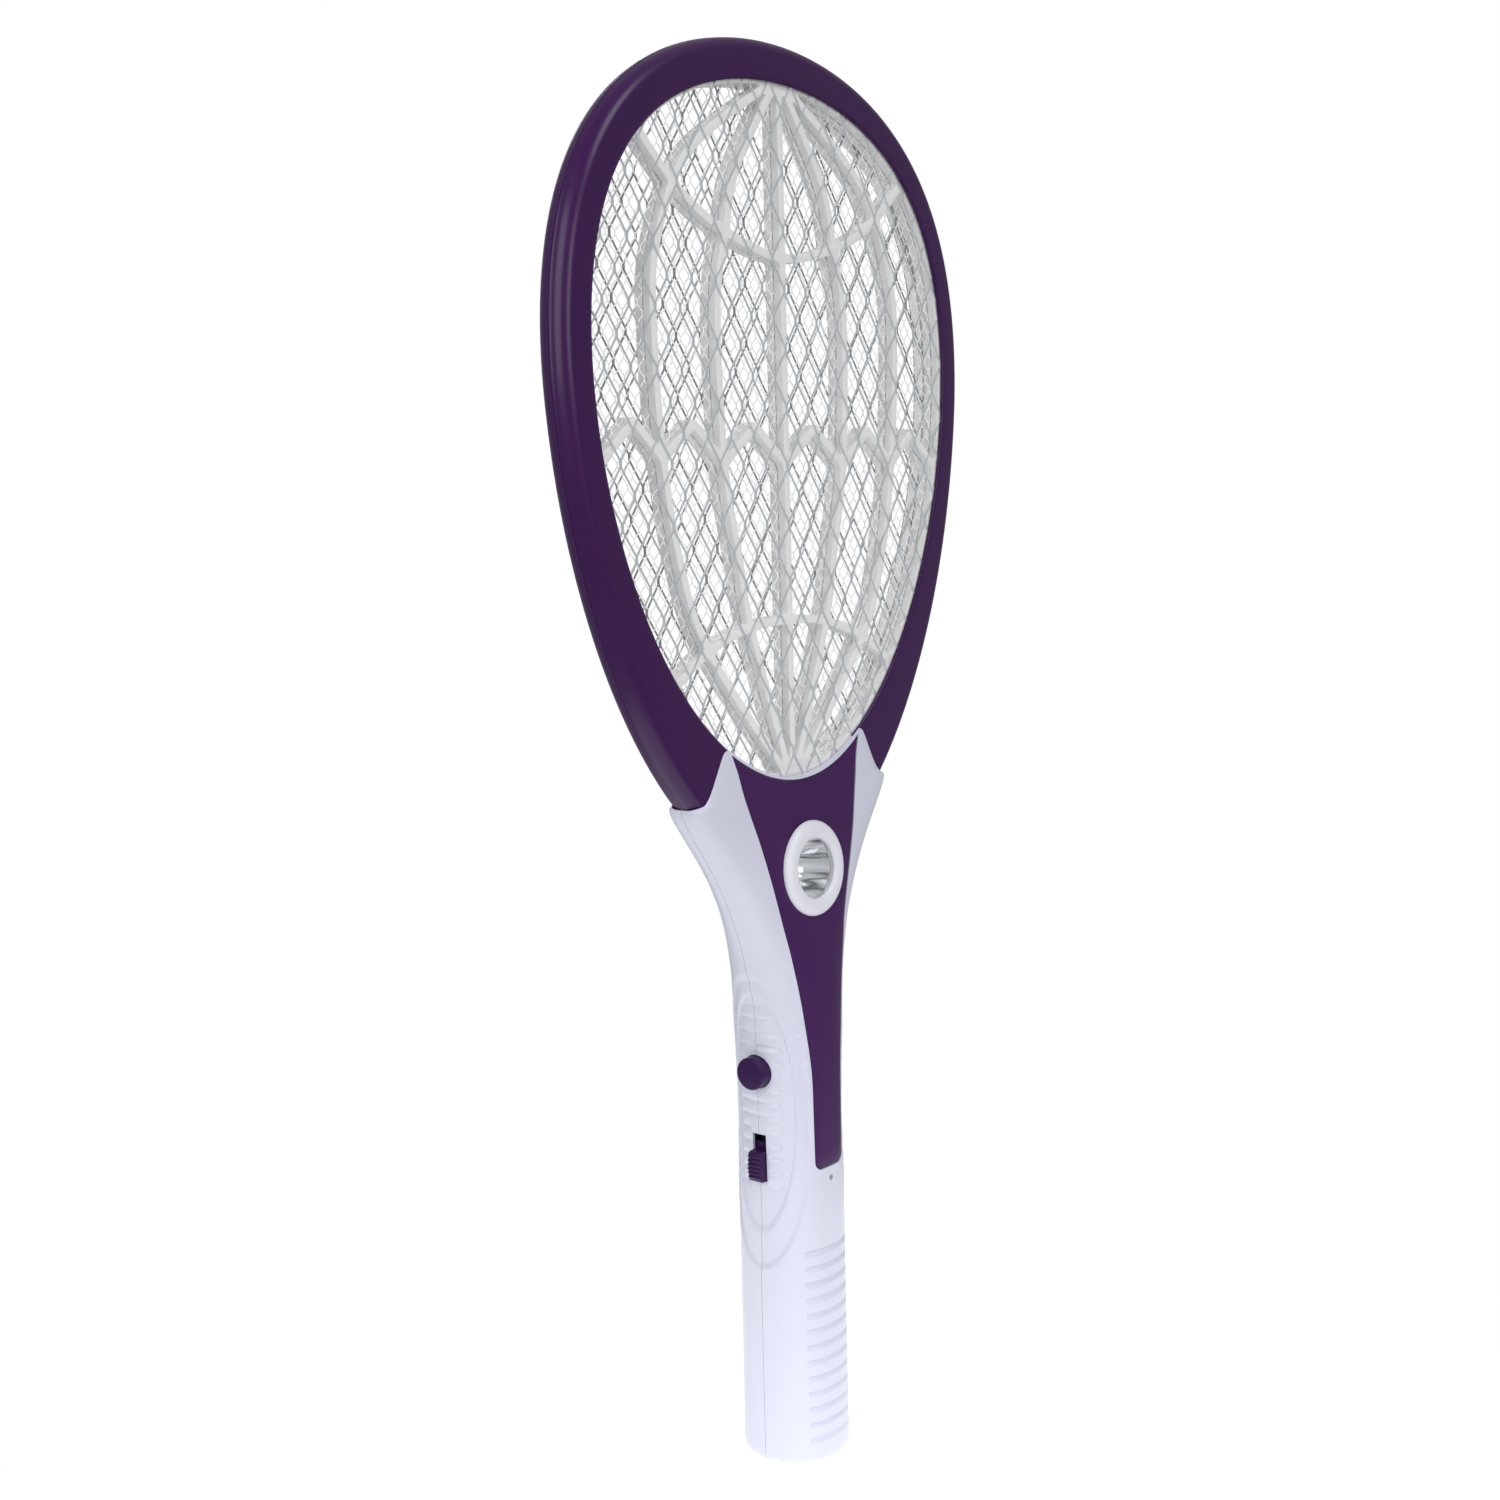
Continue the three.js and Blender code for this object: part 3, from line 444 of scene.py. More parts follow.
def make_materials():
    """The material of each slot, put on the CAD nodes too."""
    made = {
        "ring_purple": finish_material(
            "satin_purple_ring", (56, 12, 76), 0.36, 1400, 0.04, 0.08, level=0.16, coat=0.35
        ),
        "panel_purple": finish_material(
            "satin_purple_panel", (66, 30, 85), 0.42, 1500, 0.05, 0.05, level=0.2
        ),
        # A lighter copy of the handle white for the bezel: painted light, offsetting the shade on its dome
        "bezel_white_painted_light": finish_material("bezel_white_painted_light", (236, 237, 246), 0.3, 500, 0.006, 0.012),
        "button_purple": finish_material(
            "satin_purple_switch", (48, 16, 70), 0.38, 1500, 0.05, 0.05, level=0.25
        ),
        "handle_white": finish_material("glossy_white", (217, 219, 236), 0.3, 500, 0.006, 0.012),
        "grid_white": finish_material("moulded_white", (247, 247, 246), 0.4, 900, 0.05, 0.015),
        "mesh_metal": finish_material("expanded_metal", (232, 238, 243), 0.36, 1600, 0.12, 0.1, 0.65),
        # A darker copy of the expanded metal for the back mesh: painted shade, where the head shades it
        "mesh_metal_painted_shade": finish_material(
            "shaded_expanded_metal", (176, 177, 178), 0.4, 1600, 0.12, 0.12, 0.85
        ),
        "live_metal": finish_material("bright_metal_painted_glints", (254, 254, 255), 0.3, 1600, 0.04, 0.01, 0.0, coat=0.3),
        "chrome": chrome_with_painted_reflections("reflector_with_painted_reflections"),
        "clear": clear_plastic("clear_lens"),
        "led_amber": finish_material("led_resin", (232, 206, 120), 0.15, 900, 0.02, 0.05),
        "steel": finish_material("zinc_steel", (168, 172, 178), 0.35, 1200, 0.12, 0.08, 1.0),
        "pin_metal": finish_material("nickel_pin", (206, 200, 186), 0.22, 1300, 0.08, 0.05, 1.0, (8, 8, 1)),
        "black_plastic": finish_material("black_plastic", (26, 26, 28), 0.45, 1300, 0.1, 0.15),
        "board_green": finish_material("board_green", (22, 92, 54), 0.4, 600, 0.12, 0.2),
        "capacitor_red": finish_material("dipped_red", (150, 42, 28), 0.3, 500, 0.1, 0.12),
        "capacitor_blue": finish_material("sleeve_blue", (26, 44, 104), 0.32, 800, 0.06, 0.1),
        "transformer_yellow": finish_material("winding_tape", (206, 176, 44), 0.42, 350, 0.15, 0.12),
        "resistor_tan": finish_material("resistor_tan", (196, 164, 118), 0.4, 900, 0.1, 0.12),
        "lamp_red": finish_material("lamp_red", (170, 24, 22), 0.18, 900, 0.03, 0.08),
        "battery_blue": finish_material(
            "battery_sleeve", (38, 70, 132), 0.3, 250, 0.06, 0.08, 0.0, (1, 1, 4)
        ),
        "lead_red": finish_material("lead_red", (176, 26, 26), 0.4, 900, 0.1, 0.1),
        "lead_black": finish_material("lead_black", (22, 22, 24), 0.42, 900, 0.1, 0.15),
    }
    # The fine strands glow a little: painted glints
    live = made["live_metal"].node_tree.nodes["Principled BSDF"]
    live.inputs["Emission Color"].default_value = (1, 1, 1, 1)
    live.inputs["Emission Strength"].default_value = LIVE_MESH_PAINTED_GLINTS
    for part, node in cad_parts.items():
        for holder in node.material_slots:
            holder.material = made[NODE_SLOTS[part]]
    return made


# ---------------------------------------------------------------- mesh making


def piece(name, vertices, faces, slot, body="racket", instead_of=(), smooth=32):
    """A mesh from millimetre points, with its material, riding on a body and standing for CAD nodes.

    A piece without a slot is a hidden body that a boolean uses up.
    """
    mesh = bpy.data.meshes.new(name)
    mesh.from_pydata([tuple(v) for v in np.asarray(vertices, float) * MM], [], [list(f) for f in faces])
    made = bmesh.new()
    made.from_mesh(mesh)
    bmesh.ops.remove_doubles(made, verts=made.verts, dist=1e-7)
    bmesh.ops.recalc_face_normals(made, faces=made.faces)
    made.to_mesh(mesh)
    made.free()
    return place_piece(name, mesh, slot, body, instead_of, smooth)


def place_piece(name, mesh, slot, body, instead_of, smooth):
    mesh.shade_smooth()
    mesh.set_sharp_from_angle(angle=math.radians(smooth))
    mesh.materials.clear()
    obj = bpy.data.objects.new(name, mesh)
    bpy.context.collection.objects.link(obj)
    if slot:
        mesh.materials.append(MATERIALS[slot])
        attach(obj, body)
    if instead_of:
        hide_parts(*instead_of)
    return obj


def joined(parts):
    """Several (vertices, faces) bodies as one."""
    vertices, faces = [], []
    for points, polygons in parts:
        start = len(vertices)
        vertices.extend(points)
        faces.extend([[start + i for i in f] for f in polygons])
    return vertices, faces


def loft(rows, caps=True):
    """Faces between rows of points that run round a body."""
    rows = np.asarray(rows, float)
    count = rows.shape[1]
    faces = []
    for level in range(len(rows) - 1):
        a = level * count
        b = a + count
        for i in range(count):
            j = (i + 1) % count
            faces.append([a + i, a + j, b + j, b + i])
    if caps:
        faces.append(list(range(count))[::-1])
        faces.append([(len(rows) - 1) * count + i for i in range(count)])
    return list(rows.reshape(-1, 3)), faces


def lathe(profile, sides, place):
    """A turned body about a local Z axis, from (radius, height) points, put in place by a matrix."""
    vertices, faces, rings = [], [], []
    for radius, height in profile:
        if radius < 1e-6:
            rings.append([len(vertices)])
            vertices.append(place @ Vector((0, 0, height)))
            continue
        rings.append([len(vertices) + i for i in range(sides)])
        for i in range(sides):
            angle = 2 * math.pi * i / sides
            vertices.append(place @ Vector((radius * math.cos(angle), radius * math.sin(angle), height)))
    for low, high in zip(rings, rings[1:]):
        if len(low) == 1 and len(high) == 1:
            continue
        for i in range(sides):
            j = (i + 1) % sides
            corners = [low[i % len(low)], low[j % len(low)], high[j % len(high)], high[i % len(high)]]
            faces.append(list(dict.fromkeys(corners)))
    return vertices, faces


def box_body(low, high):
    corners = [(x, y, z) for x in (low[0], high[0]) for y in (low[1], high[1]) for z in (low[2], high[2])]
    return corners, [[0, 1, 3, 2], [4, 6, 7, 5], [0, 4, 5, 1], [2, 3, 7, 6], [0, 2, 6, 4], [1, 5, 7, 3]]


def cutter(parts):
    """A hidden body for a boolean, made of overlapping closed parts."""
    total = None
    for part in parts:
        body = piece("cutter", *part, None)
        total = body if total is None else carve(total, body, "UNION")
    return total


def carve(body, tool, operation="DIFFERENCE"):
    """Applies a boolean to a body and removes the tool."""
    step = body.modifiers.new("carve", "BOOLEAN")
    step.operation = operation
    step.object = tool
    step.solver = "MANIFOLD"
    mesh = bpy.data.meshes.new_from_object(body.evaluated_get(bpy.context.evaluated_depsgraph_get()))
    body.modifiers.clear()
    body.data = mesh
    bpy.data.objects.remove(tool)
    return body


def outline_plate(loops, y_low, y_high, bevel):
    """A flat plate seen from the front, from (x, z) loops, with rounded edges."""
    curve = bpy.data.curves.new("plate", "CURVE")
    curve.dimensions = "2D"
    curve.fill_mode = "BOTH"
    curve.extrude = (y_high - y_low) / 2 - bevel
    curve.bevel_depth = bevel
    curve.bevel_resolution = 2
    curve.offset = -bevel
    for loop in loops:
        outline = curve.splines.new("POLY")
        outline.points.add(len(loop) - 1)
        for point, (x, z) in zip(outline.points, loop):
            point.co = (x, z, 0, 1)
        outline.use_cyclic_u = True
    holder = bpy.data.objects.new("plate", curve)
    mesh = bpy.data.meshes.new_from_object(holder)
    middle = (y_low + y_high) / 2
    vertices = [(v.co.x, middle + v.co.z, v.co.y) for v in mesh.vertices]
    return vertices, [list(p.vertices) for p in mesh.polygons]


# ---------------------------------------------------------------- head


def opening(degrees, outwards=0.0):
    """Points of the opening's outline at angles from the top, moved outwards."""
    degrees = np.asarray(degrees, float)

    def at(angle):
        c = np.cos(angle)
        width = 1 + EGG[0] * c + EGG[1] * c**2 + EGG[2] * c**3
        return np.stack([OPENING_HALF_WIDTH * np.sin(angle) * width, HEAD_Z + OPENING_HALF_HEIGHT * c], -1)

    angle = np.radians(degrees)
    along = at(angle + 1e-3) - at(angle - 1e-3)
    along /= np.linalg.norm(along, axis=-1, keepdims=True)
    return at(angle) + np.stack([-along[..., 1], along[..., 0]], -1) * np.asarray(outwards)[..., None]


def ring_width(degrees):
    """The ring's width at an angle from the top: fuller at its crown, and flared towards the handle."""
    past = max(0.0, (abs(degrees) - FLARE_START) / FLARE_SPAN)
    crown = RING_CROWN * max(0.0, math.cos(math.radians(degrees))) ** 4
    return RING_WIDTH + crown + FLARE * past**FLARE_POWER


def arc(centre, radius, start, end, steps):
    angles = np.radians(np.linspace(start, end, steps))
    return [(centre[0] + radius[0] * math.cos(a), centre[1] + radius[1] * math.sin(a)) for a in angles]


def ring_section(width, corner):
    """One half of the ring's section, as (distance from the opening, depth) points."""
    outer = arc((width - corner, RING_HALF_DEPTH - corner * 1.3), (corner, corner * 1.3), 90, 8, 12)
    return [
        (0, LIP_DEPTH),
        (0.05, LIP_DEPTH + 0.6),
        *arc((0.9, RING_HALF_DEPTH - 0.9), (0.85, 0.9), 180, 90, 5),
        (2.2, RING_HALF_DEPTH),
        *outer,
        (width, 0.75),
        (width + 0.12, 0.5),
        (width + 0.12, SEAM),
        (width - RING_WALL, SEAM),
        (width - RING_WALL - 0.5, RING_HALF_DEPTH - 3.8),
        (width - corner - 0.6, LIP_DEPTH),
        (CHANNEL + RING_WALL, LIP_DEPTH),
        (CHANNEL + RING_WALL, SEAM),
        (CHANNEL, SEAM),
        (CHANNEL, LIP_DEPTH),
    ]


def sweep(section, degrees):
    """Sweeps a section that depends on the ring's width round the opening."""
    rows = []
    for angle in degrees:
        points = np.array(section(ring_width(angle)))
        place = opening(angle, points[:, 0])
        rows.append(np.column_stack([place[:, 0], points[:, 1], place[:, 1]]))
    return loft(rows)


def make_ring():
    for name, side, corner in RING_CORNERS:
        body = sweep(
            lambda width: [(out, side * depth) for out, depth in ring_section(width, corner)],
            np.linspace(-RING_END, RING_END, 187),
        )
        piece(name + "_shell", *body, "ring_purple", instead_of=[name])


def spline(points, steps):
    """A smooth line through points (Catmull-Rom, as three.js draws a SplineCurve)."""
    p = np.array([points[0], *points, points[-1]], float)
    line = []
    for k in range(1, len(p) - 2):
        t = np.linspace(0, 1, steps, endpoint=k == len(p) - 3)[:, None]
        v0 = (p[k + 1] - p[k - 1]) / 2
        v1 = (p[k + 2] - p[k]) / 2
        a = p[k]
        b = p[k + 1]
        cubic = 2 * a - 2 * b + v0 + v1
        square = -3 * a + 3 * b - 2 * v0 - v1
        line.append(cubic * t**3 + square * t**2 + v0 * t + a)
    return np.vstack(line)


def distance_to_line(x, z, line):
    """Distance from grid points to a polyline."""
    best = np.full(x.shape, 1e9)
    for (ax, az), (bx, bz) in zip(line, line[1:]):
        dx, dz = bx - ax, bz - az
        share = np.clip(((x - ax) * dx + (z - az) * dz) / (dx * dx + dz * dz + 1e-9), 0, 1)
        best = np.minimum(best, np.hypot(x - ax - share * dx, z - az - share * dz))
    return best


def rib_lines():
    """The middle lines of the grid's ribs."""
    top = HEAD_Z + OPENING_HALF_HEIGHT
    bottom = HEAD_Z - OPENING_HALF_HEIGHT
    inner = [(2, top), (24, 470), (31.5, 447), (37, 420), (35, 369), (28, 336), (22.5, 312), (2, bottom + 1)]
    outer = [(4, top), (50, 471), (68, 438), (70, 408), (67, 370), (60, 336), (46, 305), (4, bottom + 1)]
    upper = [(78, 477), (56, 458.5), (31.5, 447), (0, 441), (-31.5, 447), (-56, 458.5), (-78, 477)]
    lower = [(66, 293), (46, 305), (22.5, 312), (0, 313.6), (-22.5, 312), (-46, 305), (-66, 293)]
    crowns = [(0, 369), (17.5, 382), (35, 369), (51, 382), (67, 370), (81, 382), (97, 369)]
    lines = [np.array([(0, bottom), (0, top)]), spline(upper, 6), spline(lower, 6)]
    for mirror in (-1, 1):
        lines += [spline([(mirror * x, z) for x, z in points], 7) for points in (inner, outer)]
        lines.append(np.array([(mirror * x, z) for x, z in crowns], float))
    return lines


def grid_loops():
    """The outlines of the moulded grid, with fillets where its ribs meet."""
    across = np.arange(-114, 114.1, GRID_STEP)
    up = np.arange(250, 507, GRID_STEP)
    x, z = np.meshgrid(across, up, indexing="ij")
    rim_line = opening(np.linspace(0, 360, 145))
    rim = distance_to_line(x, z, rim_line)
    inside = np.hypot(x, z - HEAD_Z) < np.interp(
        np.degrees(np.arctan2(x, z - HEAD_Z)) % 360,
        np.degrees(np.arctan2(rim_line[:-1, 0], rim_line[:-1, 1] - HEAD_Z)) % 360,
        np.hypot(rim_line[:-1, 0], rim_line[:-1, 1] - HEAD_Z),
        period=360,
    )
    offset = np.where(inside, -rim, rim)
    field = np.abs(offset - RIM[0]) - RIM[1]
    for line in rib_lines():
        near = distance_to_line(x, z, line) - RIB_WIDTH / 2
        blend = np.clip(0.5 + 0.5 * (near - field) / FILLET, 0, 1)
        field = near * (1 - blend) + field * blend - FILLET * blend * (1 - blend)
    lug = np.maximum(np.abs(x) - LUG[0], np.abs(z - LUG[1]) - LUG[2])
    field = np.minimum(field, lug)
    field = np.maximum(field, offset - (CHANNEL - GAP))
    return contours(x[:, 0], z[0], field)


def contours(xs, zs, field):
    """Closed loops where the field crosses zero, resampled at even steps."""
    after = {}
    sign = field < 0
    cells = np.argwhere(
        (sign[:-1, :-1] != sign[1:, :-1])
        | (sign[1:, :-1] != sign[1:, 1:])
        | (sign[1:, 1:] != sign[:-1, 1:])
    )
    for i, j in cells:
        corners = [(i, j), (i + 1, j), (i + 1, j + 1), (i, j + 1)]
        enters, leaves = [], []
        for a, b in zip(corners, corners[1:] + corners[:1]):
            if sign[a] != sign[b]:
                (enters if sign[b] else leaves).append((min(a, b), max(a, b)))
        for start, end in zip(leaves, enters):
            after[start] = end
    loops = []
    while after:
        start, here = after.popitem()
        loop = [start]
        while here != start and here in after:
            loop.append(here)
            here = after.pop(here)
        points = []
        for a, b in loop:
            share = field[a] / (field[a] - field[b])
            pa = np.array((xs[a[0]], zs[a[1]]))
            pb = np.array((xs[b[0]], zs[b[1]]))
            points.append(pa + (pb - pa) * share)
        loops.append(resample(np.array(points), 0.9))
    return loops


def resample(points, step):
    """A closed loop's points at even distances of about a step."""
    closed = np.vstack([points, points[:1]])
    along = np.append(0, np.cumsum(np.hypot(*np.diff(closed, axis=0).T)))
    places = np.linspace(0, along[-1], max(8, int(along[-1] / step)), endpoint=False)
    return np.column_stack([np.interp(places, along, closed[:, k]) for k in (0, 1)])


def make_grids():
    loops = grid_loops()
    rim = [opening(np.arange(0, 360, 2.5), outwards) for outwards in (CHANNEL - GAP, -1.0)]
    front = outline_plate(loops, *FRONT_GRID, GRID_EDGE)
    back = joined([outline_plate(loops, *BACK_GRID, GRID_EDGE), outline_plate(rim, *BACK_RIM, GRID_EDGE)])
    for name, body in (("front_grid", front), ("back_grid", back)):
        piece(name + "_moulding", *body, "grid_white", instead_of=[name], smooth=24)


def clipped(polygon, outline):
    """A polygon of (x, z, height) points cut to the inside of a convex outline that runs clockwise."""
    for p, q in zip(outline, np.roll(outline, -1, axis=0)):
        inward = np.array((q[1] - p[1], p[0] - q[0]))
        sides = [(v[0] - p[0]) * inward[0] + (v[1] - p[1]) * inward[1] for v in polygon]
        if min(sides) >= 0:
            continue
        kept = []
        for k, v in enumerate(polygon):
            w = polygon[(k + 1) % len(polygon)]
            here = sides[k]
            there = sides[(k + 1) % len(polygon)]
            if here >= 0:
                kept.append(v)
            if here * there < 0:
                kept.append(tuple(np.add(v, np.subtract(w, v) * here / (here - there))))
        polygon = kept
        if len(polygon) < 3:
            return []
    return polygon


def hexagon(side, corner, top):
    """A long hexagon: its upright sides reach up and down to corner, and its points to top."""
    return [(side, -corner), (side, corner), (0, top), (-side, corner), (-side, -corner), (0, -top)]


def expanded_sheet(y, cell, bond, strand, bond_width, thickness, crown, raised=0.0):
    """A sheet of long hexagonal cells, each a tile with a hole, cut to the head's outline.

    A cell's strands meet in upright bonds. The sheet is thickest in the middle of its strands, by the
    crown on each face, and it is raised to shift its pattern.
    """
    width, height = cell
    top = (height - bond) / 2
    slope = math.hypot(width / 2, top - bond / 2)
    rise = strand / 2 * slope / (width / 2)  # how far a slanted edge moves up for half a strand
    side = width / 2 - bond_width / 2
    corner = top - rise - side * (top - bond / 2) / (width / 2)
    tile = hexagon(width / 2, bond / 2, top)
    hole = hexagon(side, corner, top - rise)
    outline = opening(np.arange(0, 360, 3), MESH_REACH)
    limit = np.hypot(outline[:, 0], outline[:, 1] - HEAD_Z)
    bearing = np.degrees(np.arctan2(outline[:, 0], outline[:, 1] - HEAD_Z)) % 360
    index, points, polygons = {}, [], []
    for i in range(-60, 61):
        for j in range(-60, 61):
            if (i + j) % 2:
                continue
            cx = i * width / 2
            cz = HEAD_Z + j * height / 2 + raised
            away = math.hypot(cx, cz - HEAD_Z)
            turned = math.degrees(math.atan2(cx, cz - HEAD_Z)) % 360
            reach = np.interp(turned, bearing, limit, period=360)
            if away > reach + height:
                continue
            for k in range(6):
                m = (k + 1) % 6
                quad = [(cx + x, cz + z, 1.0) for x, z in (tile[k], tile[m])]
                quad += [(cx + x, cz + z, 0.0) for x, z in (hole[m], hole[k])]
                if away > reach - height:
                    quad = clipped(quad, outline)
                face = []
                for v in quad:
                    key = (round(v[0], 3), round(v[1], 3))
                    if key not in index:
                        index[key] = len(points)
                        points.append(v)
                    face.append(index[key])
                face = list(dict.fromkeys(face))
                if len(face) > 2:
                    polygons.append(face)
    count = len(points)
    front, back = (
        [(x, y + s * (thickness / 2 + crown * h), z) for x, z, h in points] for s in (-1, 1)
    )
    edges = {(a, b) for f in polygons for a, b in zip(f, f[1:] + f[:1])}
    walls = [[a, b, b + count, a + count] for a, b in edges if (b, a) not in edges]
    return front + back, polygons + [[count + v for v in f] for f in polygons] + walls


def make_meshes():
    front = expanded_sheet(FRONT_MESH_Y, **OUTER_SHEET)
    piece("front_mesh_expanded", *front, "mesh_metal", instead_of=["front_mesh"], smooth=60)
    back = expanded_sheet(BACK_MESH_Y, **OUTER_SHEET, raised=BACK_MESH_RISE)
    made = piece("back_mesh_expanded", *back, "mesh_metal", instead_of=["back_mesh"], smooth=60)
    # The back mesh takes the darker copy of its metal: painted shade
    made.data.materials[0] = MATERIALS["mesh_metal_painted_shade"]
    live = expanded_sheet(LIVE_MESH_Y, **LIVE_SHEET)
    piece("live_mesh_expanded", *live, "live_metal", instead_of=["live_mesh"], smooth=60)


# ---------------------------------------------------------------- handle


def sections_at(z):
    """Half width, half depth and the two squarenesses at heights, averaged over a window of heights.

    The width has a narrower window near the tips of the ears, so they stay crisp.
    """
    z = np.asarray(z, float)
    reach = np.clip((z - 6) * 0.4, 0, SECTION_WINDOW)
    sharp = np.where(z > 249, 0.2, np.minimum(reach, np.abs(z - 250) * 0.35 + 0.1))
    shifts = np.linspace(-1, 1, 9)
    values = [
        np.mean([np.interp(z + s * window, HANDLE_SECTIONS[:, 0], HANDLE_SECTIONS[:, k]) for s in shifts], 0)
        for k, window in ((1, sharp), (2, reach), (3, reach), (4, reach))
    ]
    low = np.clip((BASE_FILLET - z) / BASE_FILLET, 0, 1)
    fillet = BASE_FILLET * (1 - np.sqrt(1 - low**2)) * 0.9
    return values[0] - fillet, values[1] - fillet, values[2], values[3]


def front_depth(x, z, inset=0.0):
    """The y of the handle's front surface."""
    half_width, half_depth, squareness, _ = sections_at(z)
    share = np.clip(np.abs(x) / (half_width - inset), 0, 0.999)
    return -(half_depth - inset) * (1 - share**squareness) ** (1 / squareness)


def bump_step(value, low, high):
    """A smooth step from 0 at low to 1 at high."""
    t = np.clip((value - low) / (high - low), 0, 1)
    return t * t * (3 - 2 * t)


def relief(x, y, z):
    """How far the handle's surface lies under its plain form."""
    depth = np.zeros_like(x)
    bearing = np.degrees(np.arctan2(np.abs(y), np.abs(x)))
    for half_angle, middle, half_height, drop in OVALS:
        spread = np.hypot(bearing / half_angle, (z - middle) / half_height)
        depth += drop * bump_step(1.01 - spread, 0, 0.026)
    clear_of_button = bump_step(np.hypot(y, z - BUTTON_Z), 8.2, 9.4)
    beside_slot = bump_step(np.abs(y), 4.4, 5.4)
    past_slot = bump_step(np.abs(z - SLOT_MIDDLE), 11.5, 12.8)
    clear = np.where(x < 0, clear_of_button * np.maximum(beside_slot, past_slot), 1)
    within = bump_step(30 - bearing, 0, 4) * bump_step(1.0 - spread, 0.02, 0.12)  # the inner oval's spread
    for groove in SIDE_GROOVES:
        depth += SIDE_GROOVE_DEPTH * np.exp(-(((z - groove) / 0.85) ** 2)) * within * clear
    for k in range(GRIP_COUNT):
        below = GRIP_TOP - k * GRIP_PITCH - z
        shape = bump_step(below, -0.2, 0.2) * (1 - bump_step(below, 0.3, 2.3))
        depth += np.where(y < 0, GRIP_DEPTH * shape * bump_step(GRIP_HALF - np.abs(x), 0, 0.9), 0)
    return depth


def handle_rows(z, inset=0.0, detail=True):
    """Rows of points round the handle at heights, inside its surface by an inset."""
    half_width, half_depth, front, back = (column[:, None] for column in sections_at(z))
    half_width = half_width - inset
    half_depth = half_depth - inset
    angle = np.linspace(0, 2 * np.pi, AROUND, endpoint=False)[None]
    c = np.cos(angle)
    s = np.sin(angle)
    power = 2 / np.where(s < 0, front, back)
    x = half_width * np.sign(c) * np.abs(c) ** power
    y = half_depth * np.sign(s) * np.abs(s) ** power
    height = np.broadcast_to(np.asarray(z, float)[:, None], x.shape)
    if detail:
        away = np.hypot(x, y)
        share = 1 - relief(x, y, height) / away
        x, y = x * share, y * share
    return np.stack([x, y, height], -1)


def handle_levels():
    """The heights of the handle's rows, closest where its relief needs them."""
    levels = [0, 0.12, 0.4, 0.85, 1.4, 2.2, BASE_FILLET, *np.arange(5, 249, 1.25), *np.arange(249, 255, 0.25)]
    levels += [*np.arange(255.5, 269, 1.0), *np.arange(269, 270.7, 0.3)]
    for k in range(GRIP_COUNT):
        levels += list(GRIP_TOP - k * GRIP_PITCH - np.array((-0.35, -0.1, 0.15, 0.4, 1.0, 1.7, 2.4)))
    for groove in SIDE_GROOVES:
        levels += list(groove + np.array((-1.7, -1.0, -0.5, 0, 0.5, 1.0, 1.7)))
    levels = np.sort(levels)
    return levels[np.append(True, np.diff(levels) > 0.1)]


def prism(outwards, y_low, y_high):
    """A straight block whose outline is the opening's, moved outwards."""
    loop = opening(np.arange(0, 360, 2.5), outwards)
    return loft([np.column_stack([loop[:, 0], np.full(len(loop), y), loop[:, 1]]) for y in (y_low, y_high)])


def rod(axis, radius, low, high, across, sides=40):
    """A round rod along an axis, between two places on it, through a point across it."""
    turn = {
        "x": Matrix.Rotation(math.pi / 2, 4, "Y"),
        "y": Matrix.Rotation(-math.pi / 2, 4, "X"),
        "z": Matrix.Identity(4),
    }
    shift = {"x": (0, *across), "y": (across[0], 0, across[1]), "z": (*across, 0)}
    place = Matrix.Translation(shift[axis]) @ turn[axis]
    return lathe([(0, low), (radius, low), (radius, high), (0, high)], sides, place)


def socket(side):
    """The room in the handle for one end of the ring."""

    def section(width):
        deep = RING_HALF_DEPTH + RING_FIT
        middle = (width + 0.12 + RING_FIT - SOCKET_CORNER, deep - SOCKET_CORNER)
        half = [(-2, deep), *arc(middle, (SOCKET_CORNER, SOCKET_CORNER), 90, 0, 8)]
        return half + [(out, -depth) for out, depth in half[::-1]]

    return sweep(section, np.linspace(side * SOCKET_START, side * (RING_END + 0.6), 12))


def torch_place():
    """The torch's frame: its local Z axis comes out of the handle's front."""
    turn = Matrix.Rotation(math.radians(90 - TORCH_TILT), 4, "X")
    return Matrix.Translation((0, TORCH_Y, TORCH_Z)) @ turn


def panel_loop(grow):
    """The panel's outline seen from the front, from the middle of its bottom round to the same place."""
    right = []
    for turn in np.radians(np.linspace(0, 90, 7)):
        right.append((
            PANEL_BOTTOM_HALF - PANEL_CORNER + (PANEL_CORNER + grow) * math.sin(turn),
            PANEL_BOTTOM + PANEL_CORNER - (PANEL_CORNER + grow) * math.cos(turn),
        ))
    z, half = np.array(PANEL_SIDE).T
    levels = np.linspace(120, 262, 60)
    reach = np.interp(levels, np.append(114.5, z), np.append(PANEL_BOTTOM_HALF, half))
    padded = np.pad(reach, 3, mode="reflect", reflect_type="odd")
    smooth = np.convolve(padded, np.ones(7) / 7, mode="valid")
    right += [(w + grow, level) for w, level in zip(smooth, levels)]
    degrees = np.linspace(PANEL_TOP_END - grow, 180, 24)
    right += [tuple(p) for p in opening(degrees, PANEL_LIP - grow)]
    left = [(-x, z) for x, z in right if x > 1e-6][::-1]
    return np.array(right + left)


